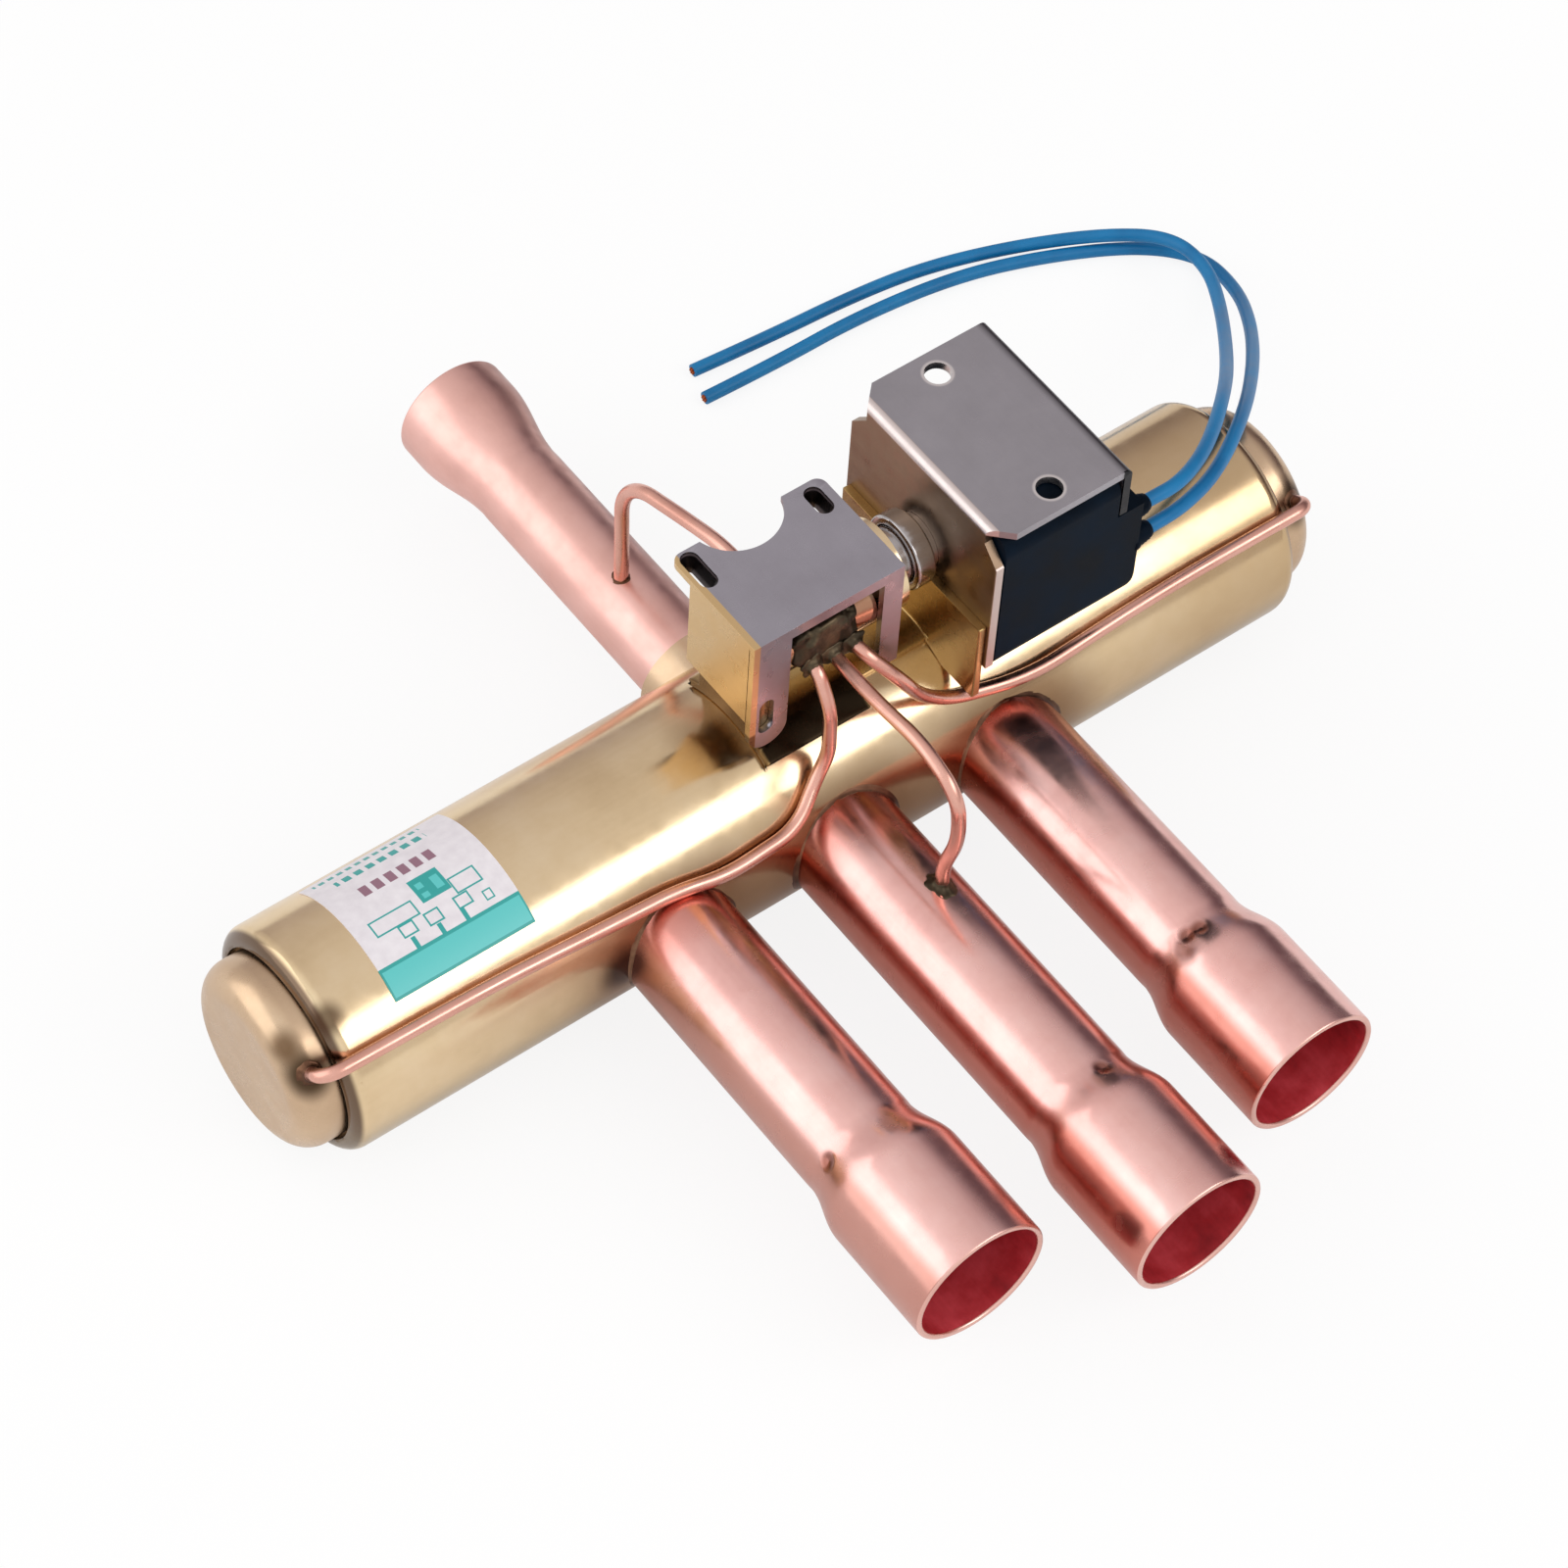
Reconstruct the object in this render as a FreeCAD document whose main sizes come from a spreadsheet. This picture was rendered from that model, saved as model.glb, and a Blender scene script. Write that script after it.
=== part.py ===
import FreeCAD, Part
import math
import os
import re
import Sketcher

# Reversing valve for a heat pump: main body with four tubes, pilot valve, coil and leads
#
# Frame: X runs along the main body, front tubes leave towards -Y, the discharge tube towards +Y.
# The origin is at the middle of the base, on the surface that the body lies on.

V = FreeCAD.Vector
FULL_TURN = 360
QUARTER_TURN = 90

# Driving dimensions, in millimetres and degrees
SIZES = {
    # main body and end caps
    "body_od": 40.0,
    "body_wall": 1.5,
    "body_length": 190.6,
    "body_edge_radius": 2.7,
    "lip_width": 3.3,
    "lip_gap": 0.6,
    "cap_step": 2.0,
    "cap_proud": 7.3,
    "cap_edge_radius": 5.0,
    "cap_flange_width": 6.0,
    "cap_wall": 4.5,
    "cap_floor": 4.1,
    # tubes on the front
    "piston_room": 2.1,
    "tube_od": 20.3,
    "tube_wall": 1.1,
    "socket_bore": 22.35,
    "socket_depth": 21.1,
    "flare_length": 9.0,
    "outer_reach": 97.6,
    "middle_reach": 110.1,
    # discharge tube on the back
    "discharge_od": 16.0,
    "discharge_wall": 0.8,
    "discharge_socket_bore": 19.2,
    "discharge_socket_depth": 5.0,
    "discharge_flare_length": 15.0,
    "discharge_reach": 91.9,
    "collar_wall": 1.6,
    "collar_height": 3.5,
    "braze_gap": 0.05,
    # seat, slider and pistons
    "seat_level": 9.0,
    "seat_overlap": 3.3,
    "seat_bore": 15.0,
    "tube_seat_depth": 5.0,
    "slider_wall": 3.0,
    "slider_width": 22.0,
    "slider_height": 10.0,
    "slide_gap": 0.1,
    "carrier_sheet": 1.5,
    "carrier_rise": 3.0,
    "carrier_width": 26.0,
    "carrier_flange": 14.0,
    "window_gap": 0.3,
    "piston_thickness": 6.4,
    "bore_gap": 0.3,
    "stop_gap": 0.3,
    "seal_width": 2.4,
    "seal_depth": 3.0,
    "bleed_bore": 1.0,
    "screw_spacing": 16.0,
    "screw_shank": 2.4,
    "screw_head": 4.6,
    "screw_head_height": 1.6,
    "screw_length": 6.5,
    "screw_gap": 0.05,
    "leaf_sheet": 0.4,
    "leaf_width": 8.0,
    "leaf_foot": 5.0,
    # pilot valve
    "pilot_rise": 18.9,
    "pilot_od": 16.0,
    "pilot_wall": 1.6,
    "pilot_floor": 2.0,
    "pilot_reach_left": 11.8,
    "pilot_reach_right": 19.0,
    "pilot_neck": 4.0,
    "pilot_middle": 3.0,
    "pilot_pitch": 4.0,
    "pilot_port": 1.6,
    "port_drop": 2.1,
    "pilot_seat_level": 3.0,
    "pilot_seat_length": 16.0,
    "pilot_slider_wall": 1.2,
    "pilot_slider_width": 5.0,
    "pilot_slider_height": 2.5,
    "pilot_sheet": 0.8,
    "pilot_window_gap": 0.2,
    "capillary_od": 2.4,
    "capillary_wall": 0.6,
    "capillary_angle": 140.0,
    "capillary_air": 0.5,
    "discharge_capillary_od": 2.5,
    "supply_place": 40.6,
    "supply_offset": 1.4,
    "braze_block_length": 12.0,
    "braze_block_height": 9.0,
    "braze_block_proud": 1.25,
    "sleeve_od": 10.0,
    "sleeve_wall": 0.5,
    "sleeve_collar_od": 13.4,
    "sleeve_collar_width": 3.6,
    "plunger_length": 21.0,
    "plunger_tail": 3.5,
    "spring_pocket": 5.4,
    "plunger_pocket_depth": 8.0,
    "core_pocket_depth": 3.5,
    "spring_wire": 0.5,
    "spring_turns": 9.0,
    "spring_gap": 0.3,
    # coil, yoke and brackets
    "yoke_sheet": 1.5,
    "yoke_offset": 8.1,
    "yoke_length": 26.7,
    "yoke_width": 37.4,
    "yoke_drop": 32.0,
    "yoke_corner": 3.5,
    "yoke_hole": 4.5,
    "yoke_hole_spacing": 28.6,
    "coil_od": 32.4,
    "coil_gap": 0.3,
    "coil_corner": 4.0,
    "boss_length": 5.4,
    "boss_depth": 7.0,
    "boss_height": 23.0,
    "boss_corner": 5.5,
    "lead_od": 2.4,
    "lead_inset": 2.1,
    "lead_step": 1.3,
    "lead_drop": 4.3,
    "lead_lift": 1.1,
    "bobbin_wall": 1.5,
    "bobbin_flange": 28.0,
    "winding_od": 26.4,
    "coil_screw_shank": 4.0,
    "coil_screw_head": 8.0,
    "coil_screw_head_height": 2.6,
    "coil_screw_length": 9.0,
    "bracket_sheet": 1.2,
    "bracket_clearance": 1.4,
    "bracket_right": 16.4,
    "bracket_back": 13.0,
    "bracket_wall_width": 15.5,
    "corner_gap": 0.15,
    "bracket_wall_drop": 20.0,
    "ear_length": 27.0,
    "ear_width": 7.4,
    "left_ear_width": 5.8,
    "right_ear_width": 7.7,
    "slot_width": 3.2,
    "slot_length": 8.0,
    "saddle_sheet": 1.5,
    "saddle_left": 10.0,
    "saddle_right": 10.8,
    "saddle_angle": 60.0,
    "saddle_neck_angle": 32.0,
    "saddle_wall_width": 16.0,
    "saddle_wall_height": 14.0,
    "stay_width": 36.0,
    "stay_top": 15.0,
    "stay_bottom": 2.5,
    # label
    "label_inset": 12.6,
    "label_length": 26.4,
    "label_sheet": 0.15,
    "label_start_angle": 43.6,
    "label_sweep": 84.3,
}

# Derived places and sizes, as formulas of the driving dimensions.
# Y and Z of a formula are measured from the axis of the main body.
FORMULAS = {
    "axis_y": "(middle_reach - discharge_reach) / 2",
    "axis_z": "body_od / 2",
    "body_half": "body_length / 2",
    "body_bore": "body_od - 2 * body_wall",
    "cap_od": "body_bore - 2 * cap_step",
    "end_space": "lip_width + cap_flange_width + stop_gap + piston_thickness + piston_room",
    "port_pitch": "(body_half - end_space - seat_bore / 2 - seat_overlap) / 2",
    "cap_stop": "body_half - lip_width - cap_flange_width",
    "cap_face": "body_half + cap_proud",
    "stroke": "port_pitch",
    "slide_rest": "-stroke / 2",
    "piston_outer": "cap_stop - stop_gap - stroke / 2",
    "piston_inner": "piston_outer - piston_thickness",
    "seat_length": "2 * port_pitch + seat_bore + 2 * seat_overlap",
    "cavity_length": "port_pitch + seat_bore",
    "slider_length": "cavity_length + 2 * slider_wall",
    "slider_top": "-seat_level + slide_gap + slider_height",
    "carrier_level": "-seat_level + carrier_rise",
    "pilot_axis": "body_od / 2 + pilot_rise",
    "port_level": "pilot_axis - port_drop",
    "pilot_bore": "pilot_od - 2 * pilot_wall",
    "pilot_slider_length": "pilot_pitch + pilot_port + 2 * pilot_slider_wall",
    "pilot_slide_rest": "pilot_middle - pilot_pitch / 2",
    "pilot_sheet_level": "-pilot_seat_level + pilot_slider_height / 4",
    "sleeve_bore": "sleeve_od - 2 * sleeve_wall",
    "plunger_left": "pilot_reach_right - pilot_neck + stop_gap",
    "plunger_right": "plunger_left + plunger_length",
    "core_left": "plunger_right + pilot_pitch + stop_gap",
    "yoke_left": "pilot_reach_right + yoke_offset",
    "yoke_right": "yoke_left + yoke_length",
    "coil_left": "yoke_left + yoke_sheet + coil_gap",
    "coil_right": "yoke_right - yoke_sheet - coil_gap",
    "yoke_under": "pilot_axis + coil_od / 2 + coil_gap",
    "yoke_top": "yoke_under + yoke_sheet",
    "bracket_under": "pilot_axis + pilot_od / 2 + bracket_clearance",
    "bracket_top": "bracket_under + bracket_sheet",
    "bracket_left": "pilot_reach_left + bracket_sheet",
    "bracket_front": "pilot_od / 2 + braze_gap + bracket_sheet",
    "saddle_radius": "body_od / 2 + braze_gap",
    "label_left": "body_half - label_inset",
}

doc = FreeCAD.newDocument("reversing_valve")
sheet = doc.addObject("Spreadsheet::Sheet", "sizes")
for row, (alias, value) in enumerate(SIZES.items(), start=1):
    sheet.set("A%d" % row, alias)
    sheet.set("B%d" % row, str(value))
    sheet.setAlias("B%d" % row, alias)
doc.recompute()

nodes = []
cuts = []


def bound(formula):
    """A formula in plain names, written out in cells of the sheet."""
    def expand(match):
        word = match.group(0)
        if word in FORMULAS:
            return "(" + bound(FORMULAS[word]) + ")"
        return "sizes." + word if word in SIZES else word
    return re.sub(r"[a-z_]+[a-z0-9_]*", expand, str(formula))


def size(formula):
    """The value of a formula, in millimetres."""
    value = sheet.evalExpression(bound(formula))
    return float(getattr(value, "Value", value))


def place(piece, x, y, z, rotation=None):
    """Put a piece at a point measured from the main body's axis."""
    if rotation:
        piece.Placement = FreeCAD.Placement(V(), rotation)
    piece.setExpression("Placement.Base.x", bound(x))
    piece.setExpression("Placement.Base.y", bound("axis_y + (%s)" % y))
    piece.setExpression("Placement.Base.z", bound("axis_z + (%s)" % z))


def keep(piece, label):
    """List a piece as one of the sub-parts that are written out."""
    piece.Label = label
    nodes.append(piece)
    return piece


def new_body(label):
    return keep(doc.addObject("PartDesign::Body", label), label)


def pin_point(sketch, geometry, end, x, y):
    """Hold one end of a sketch line at a place given by two formulas."""
    for kind, formula in (("DistanceX", x), ("DistanceY", y)):
        index = sketch.addConstraint(
            Sketcher.Constraint(kind, -1, 1, geometry, end, size(formula)))
        sketch.setExpression("Constraints[%d]" % index, bound(formula))


def bulged_arc(start, end, radius):
    """Arc between two points; a positive radius puts its centre on the left of the way."""
    middle = (start + end) * 0.5
    way = end - start
    left = V(-way.y, way.x, 0).normalize()
    depth = math.sqrt(max(radius * radius - way.Length ** 2 / 4, 0))
    centre = middle + left * (depth if radius > 0 else -depth)
    outward = middle - centre
    if outward.Length < 1e-6:
        outward = left * (-1 if radius > 0 else 1)
    through = centre + outward.normalize() * abs(radius)
    if radius < 0:
        return Part.Arc(end, through, start)
    return Part.Arc(start, through, end)


def add_sketch(body, plane, level="0"):
    """Empty sketch on one of the body's own planes, moved along its normal."""
    sketch = body.newObject("Sketcher::SketchObject", body.Label + "_sketch")
    origin_plane = [f for f in body.Origin.OriginFeatures if f.Role == plane][0]
    sketch.AttachmentSupport = [(origin_plane, "")]
    sketch.MapMode = "FlatFace"
    sketch.setExpression("AttachmentOffset.Base.z", bound(level))
    return sketch


def draw_outline(sketch, points):
    """Closed outline; each point is (x, y) or (x, y, radius of the arc to the next point)."""
    first = sketch.GeometryCount
    corners = [V(size(p[0]), size(p[1]), 0) for p in points]
    for i, point in enumerate(points):
        start = corners[i]
        end = corners[(i + 1) % len(points)]
        if len(point) == 3:
            sketch.addGeometry(bulged_arc(start, end, size(point[2])), False)
        else:
            sketch.addGeometry(Part.LineSegment(start, end), False)
    for i, point in enumerate(points):
        here = first + i
        before = first + (i - 1) % len(points)
        start_end = end_at(sketch, here, corners[i])
        sketch.addConstraint(
            Sketcher.Constraint("Coincident", before, end_at(sketch, before, corners[i]),
                                here, start_end))
        pin_point(sketch, here, start_end, point[0], point[1])
        if len(point) == 3:
            size_arc(sketch, here, point, corners[(i + 1) % len(points)] - corners[i])
    return sketch


def size_arc(sketch, geometry, point, chord):
    """Fix an arc by its radius, or a half circle by its centre, which lies on its chord."""
    radius = abs(size(point[2]))
    if chord.Length < 2 * radius - 1e-6:
        index = sketch.addConstraint(Sketcher.Constraint("Radius", geometry, radius))
        sketch.setExpression("Constraints[%d]" % index, bound("abs(%s)" % point[2]))
        return
    kind, formula = ("DistanceX", point[0]) if abs(chord.x) < 1e-6 else ("DistanceY", point[1])
    index = sketch.addConstraint(
        Sketcher.Constraint(kind, -1, 1, geometry, 3, size(formula)))
    sketch.setExpression("Constraints[%d]" % index, bound(formula))


def end_at(sketch, geometry, corner):
    """Which end of a sketch line or arc lies at a corner: 1 for its start, 2 for its end."""
    curve = sketch.Geometry[geometry]
    if (curve.StartPoint - corner).Length < (curve.EndPoint - corner).Length:
        return 1
    return 2


def draw_circle(sketch, x, y, diameter):
    """Circle with its centre and size bound to formulas."""
    centre = V(size(x), size(y), 0)
    index = sketch.addGeometry(Part.Circle(centre, V(0, 0, 1), size(diameter) / 2), False)
    pin_point(sketch, index, 3, x, y)
    constraint = sketch.addConstraint(
        Sketcher.Constraint("Radius", index, size(diameter) / 2))
    sketch.setExpression("Constraints[%d]" % constraint, bound("(%s) / 2" % diameter))


def slot_outline(x, y, length, width):
    """Slot with round ends, along the sketch's Y direction."""
    half = "(%s) / 2" % width
    reach = "(%s) / 2 - (%s) / 2" % (length, width)
    left = "%s - %s" % (x, half)
    right = "%s + %s" % (x, half)
    low = "%s - (%s)" % (y, reach)
    high = "%s + (%s)" % (y, reach)
    return [(left, low, half), (right, low), (right, high, half), (left, high)]


def box_outline(left, low, right, high):
    return [(left, low), (right, low), (right, high), (left, high)]


def turn(body, points, plane="XY_Plane", angle=None):
    """Revolve a half section about X; a part turn is spread evenly about its plane."""
    sketch = draw_outline(add_sketch(body, plane), points)
    feature = body.newObject("PartDesign::Revolution", body.Label + "_turned")
    feature.Profile = sketch
    feature.ReferenceAxis = (sketch, ["H_Axis"])
    if angle:
        feature.Midplane = True
        feature.setExpression("Angle", bound(angle))
    else:
        feature.Angle = FULL_TURN
    body.Tip = feature
    return feature


def turn_away(body, points, plane="XY_Plane"):
    """Cut a full ring or bore about X out of the body."""
    base = body.Tip
    sketch = draw_outline(add_sketch(body, plane), points)
    feature = body.newObject("PartDesign::Groove", body.Label + "_groove")
    feature.Profile = sketch
    feature.ReferenceAxis = (sketch, ["H_Axis"])
    feature.Angle = FULL_TURN
    cuts.append((feature, base))
    body.Tip = feature
    return feature


def pad(body, plane, points, start, length):
    """Plate between two levels along the plane's normal."""
    sketch = draw_outline(add_sketch(body, plane, start), points)
    feature = body.newObject("PartDesign::Pad", body.Label + "_pad")
    feature.Profile = sketch
    feature.setExpression("Length", bound(length))
    body.Tip = feature
    return feature


def pocket(body, plane, start, length, outlines=(), circles=()):
    """Cut outlines and circles between two levels along the plane's normal."""
    base = body.Tip
    sketch = add_sketch(body, plane, "%s + %s" % (start, length))
    for points in outlines:
        draw_outline(sketch, points)
    for x, y, diameter in circles:
        draw_circle(sketch, x, y, diameter)
    feature = body.newObject("PartDesign::Pocket", body.Label + "_pocket")
    feature.Profile = sketch
    feature.setExpression("Length", bound(length))
    cuts.append((feature, base))
    body.Tip = feature
    return feature


def edges_where(feature, test):
    """Names of the straight edges whose middle point passes a test."""
    doc.recompute()
    names = []
    for index, edge in enumerate(feature.Shape.Edges, start=1):
        if edge.Curve.TypeId == "Part::GeomLine" and test(edge.CenterOfMass):
            names.append("Edge%d" % index)
    return names


def soften(body, kind, test, radius):
    """Fillet or chamfer on the body's edges that pass a test."""
    base = body.Tip
    names = edges_where(base, test)
    feature = body.newObject("PartDesign::" + kind, body.Label + "_" + kind.lower())
    feature.Base = (base, names)
    feature.setExpression("Radius" if kind == "Fillet" else "Size", bound(radius))
    body.Tip = feature
    return feature


def near(value, formula):
    return abs(value - size(formula)) < 0.01


TO_FRONT = FreeCAD.Rotation(V(0, 0, 1), -90)
TO_BACK = FreeCAD.Rotation(V(0, 0, 1), 90)
TO_LEFT = FreeCAD.Rotation(V(0, 0, 1), 180)


# Main body: drawn brass tube, rolled in over the flange of each cap
def build_main_body():
    body = new_body("main_body")
    outer = "body_od / 2"
    inner = "body_bore / 2"
    edge = "body_half - body_edge_radius"
    lip = "cap_od / 2 + lip_gap"
    lip_start = "body_half - lip_width"
    side = [("-(%s)" % edge, outer), (edge, outer, "-body_edge_radius"),
            ("body_half", "body_od / 2 - body_edge_radius"), ("body_half", lip),
            (lip_start, lip), (lip_start, inner), ("-(%s)" % lip_start, inner),
            ("-(%s)" % lip_start, lip), ("-body_half", lip),
            ("-body_half", "body_od / 2 - body_edge_radius", "-body_edge_radius")]
    turn(body, side)
    tube_hole = "tube_od + 2 * braze_gap"
    holes = [(x, "0", tube_hole) for x in ("-port_pitch", "0", "port_pitch")]
    pocket(body, "XZ_Plane", "0", "body_od", circles=holes)
    discharge_hole = [("0", "0", "discharge_od + 2 * braze_gap")]
    pocket(body, "XZ_Plane", "-body_od", "body_od", circles=discharge_hole)
    place(body, "0", "0", "0")


# End caps: turned brass cups, with a side hole where a capillary enters
def build_cap(label, rotation):
    body = new_body(label)
    rim = "cap_od / 2"
    flange = "body_bore / 2 - braze_gap"
    lip_start = "body_half - lip_width"
    bore = "cap_od / 2 - cap_wall"
    floor = "cap_face - cap_floor"
    turn(body, [("cap_stop", bore), (floor, bore), (floor, "0"), ("cap_face", "0"),
                ("cap_face", "cap_od / 2 - cap_edge_radius", "cap_edge_radius"),
                ("cap_face - cap_edge_radius", rim), (lip_start, rim), (lip_start, flange),
                ("cap_stop", flange)])
    place(body, "0", "0", "0", rotation)
    return body


def capillary_entry():
    """Distance of a capillary's entry from the middle, half way along the cap's straight side."""
    return "cap_face - cap_edge_radius / 2 - capillary_od / 2"


def build_caps():
    for side, sign, rotation in (("left", "-", TO_LEFT), ("right", "", None)):
        cap = build_cap("end_cap_" + side, rotation)
        nodes.remove(cap)
        cap.Label = "cap_blank_" + side
        drill = doc.addObject("Part::Cylinder", "cap_drill_" + side)
        drill.setExpression("Radius", bound("capillary_od / 2 + braze_gap"))
        drill.setExpression("Height", bound("cap_od"))
        around = FreeCAD.Rotation(V(1, 0, 0), size("capillary_angle") - QUARTER_TURN)
        place(drill, "%s(%s)" % (sign, capillary_entry()), "0", "0", around)
        drilled = doc.addObject("Part::Cut", "end_cap_" + side)
        drilled.Base = cap
        drilled.Tool = drill
        keep(drilled, "end_cap_" + side)


# Tubes: straight copper tube with a smooth flare up to a socket at the mouth
def build_tube(label, reach, straight, wall, socket, depth, flare, start, x, rotation):
    body = new_body(label)
    narrow = "(%s) / 2" % straight
    wide = "(%s) / 2 + %s" % (socket, wall)
    rise = "((%s) - (%s))" % (wide, narrow)
    curve = "(((%s) / 2) ^ 2 + (%s / 2) ^ 2) / %s" % (flare, rise, rise)
    flare_end = "%s - (%s)" % (reach, depth)
    flare_start = "%s - (%s)" % (flare_end, flare)
    flare_middle = "%s - (%s) / 2" % (flare_end, flare)
    rounding = "(%s) / 2" % wall
    outside = [(start, narrow), (flare_start, narrow, curve),
               (flare_middle, "(%s) + %s / 2" % (narrow, rise), "-(%s)" % curve),
               (flare_end, wide), ("%s - %s" % (reach, rounding), wide, "-(%s)" % rounding)]
    inner = "(%s) - %s" % (narrow, wall)
    inner_wide = "(%s) - %s" % (wide, wall)
    inside = [(reach, "(%s) - %s" % (wide, rounding), "-(%s)" % rounding),
              ("%s - %s" % (reach, rounding), inner_wide),
              (flare_end, inner_wide, curve),
              (flare_middle, "(%s) + %s / 2" % (inner, rise), "-(%s)" % curve),
              (flare_start, inner), (start, inner)]
    turn(body, outside + inside)
    place(body, x, "0", "0", rotation)
    return body


def build_tubes():
    seat_end = "seat_level + tube_seat_depth"
    for label, reach, x in (("tube_evaporator", "outer_reach", "-port_pitch"),
                            ("tube_suction", "middle_reach", "0"),
                            ("tube_condenser", "outer_reach", "port_pitch")):
        tube = build_tube(label, reach, "tube_od", "tube_wall", "socket_bore", "socket_depth",
                          "flare_length", seat_end, x, TO_FRONT)
        if x == "0":
            entry = [("body_od", "pilot_middle", "capillary_od + 2 * braze_gap")]
            pocket(tube, "XY_Plane", "0", "tube_od", circles=entry)
    tube = build_tube("tube_discharge", "discharge_reach", "discharge_od", "discharge_wall",
                      "discharge_socket_bore", "discharge_socket_depth",
                      "discharge_flare_length", "body_bore / 2 - body_wall", "0", TO_BACK)
    entry = [("supply_place", "supply_offset", "discharge_capillary_od + 2 * braze_gap")]
    pocket(tube, "XY_Plane", "0", "discharge_od", circles=entry)


# Collar: short brass ring that stands on the body round the discharge tube
def build_collar():
    body = new_body("discharge_collar")
    inner = "discharge_od / 2 + braze_gap"
    outer = "discharge_od / 2 + collar_wall"
    foot = "body_od / 4"
    top = "body_od / 2 + collar_height"
    turn(body, [(foot, inner), (top, inner), (top, outer), (foot, outer)])
    pocket(body, "XZ_Plane", "-body_od", "2 * body_od",
           circles=[("0", "0", "2 * saddle_radius")])
    place(body, "0", "0", "0", TO_BACK)


# Seat: brass block with one flat face, three ports and counterbores for the tubes
def build_seat():
    body = new_body("valve_seat")
    radius = "(body_bore / 2 - braze_gap)"
    half_chord = "sqrt(%s * %s - seat_level * seat_level)" % (radius, radius)
    outline = [("-seat_level", "-(%s)" % half_chord), ("-seat_level", half_chord, radius)]
    pad(body, "YZ_Plane", outline, "-seat_length / 2", "seat_length")
    places = ("-port_pitch", "0", "port_pitch")
    pocket(body, "XZ_Plane", "0", "body_od", circles=[(x, "0", "seat_bore") for x in places])
    pocket(body, "XZ_Plane", "seat_level + tube_seat_depth", "body_od",
           circles=[(x, "0", "tube_od + 2 * braze_gap") for x in places])
    place(body, "0", "0", "0")


def round_bar(length, width):
    """Outline with round ends, along the sketch's X direction, about its origin."""
    half = "(%s) / 2" % width
    reach = "(%s) / 2 - (%s) / 2" % (length, width)
    return [("-(%s)" % reach, "-(%s)" % half), (reach, "-(%s)" % half, half),
            (reach, half), ("-(%s)" % reach, half, half)]


# Main slider: moulded bowl that joins the middle port to one port beside it
def build_main_slider():
    body = new_body("main_slider")
    low = "seat_level - slide_gap"
    pad(body, "XZ_Plane", round_bar("slider_length", "slider_width"),
        "%s - slider_height" % low, "slider_height")
    cavity = round_bar("cavity_length", "slider_width - 2 * slider_wall")
    pocket(body, "XZ_Plane", "%s - slider_height + slider_wall" % low, "slider_height",
           outlines=[cavity])
    place(body, "slide_rest", "0", "0")


# Carrier: folded brass strip between the pistons, with a window for the slider
def build_carrier():
    body = new_body("slide_carrier")
    outer = "piston_inner"
    inner = "piston_inner - carrier_sheet"
    low = "carrier_level"
    plate = "carrier_level + carrier_sheet"
    top = "carrier_level + carrier_flange"
    section = [("-(%s)" % outer, top), ("-(%s)" % outer, low), (outer, low), (outer, top),
               (inner, top), (inner, plate), ("-(%s)" % inner, plate), ("-(%s)" % inner, top)]
    pad(body, "XY_Plane", section, "-carrier_width / 2", "carrier_width")
    window = round_bar("slider_length + 2 * window_gap", "slider_width + 2 * window_gap")
    pocket(body, "XZ_Plane", "0", "body_od / 2", outlines=[window])
    holes = [("0", z, "screw_shank + 2 * screw_gap")
             for z in ("-screw_spacing / 2", "screw_spacing / 2")]
    pocket(body, "YZ_Plane", "-body_half", "body_length", circles=holes)
    place(body, "slide_rest", "0", "0")


# Leaf spring: thin strip on the carrier that presses the slider on its seat
def build_leaf():
    body = new_body("slider_spring")
    strip = "carrier_level + carrier_sheet"
    foot_out = "slider_length / 2 + leaf_foot + slider_wall"
    foot_in = "slider_length / 2 + slider_wall"
    shoulder = "slider_length / 2 + window_gap"
    top = "slider_top"
    under = [("-(%s)" % foot_out, strip), ("-(%s)" % foot_in, strip),
             ("-(%s)" % shoulder, top), (shoulder, top), (foot_in, strip), (foot_out, strip)]
    over = [(x, "%s + leaf_sheet" % y) for x, y in reversed(under)]
    pad(body, "XY_Plane", under + over, "-leaf_width / 2", "leaf_width")
    place(body, "slide_rest", "0", "0")


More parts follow.
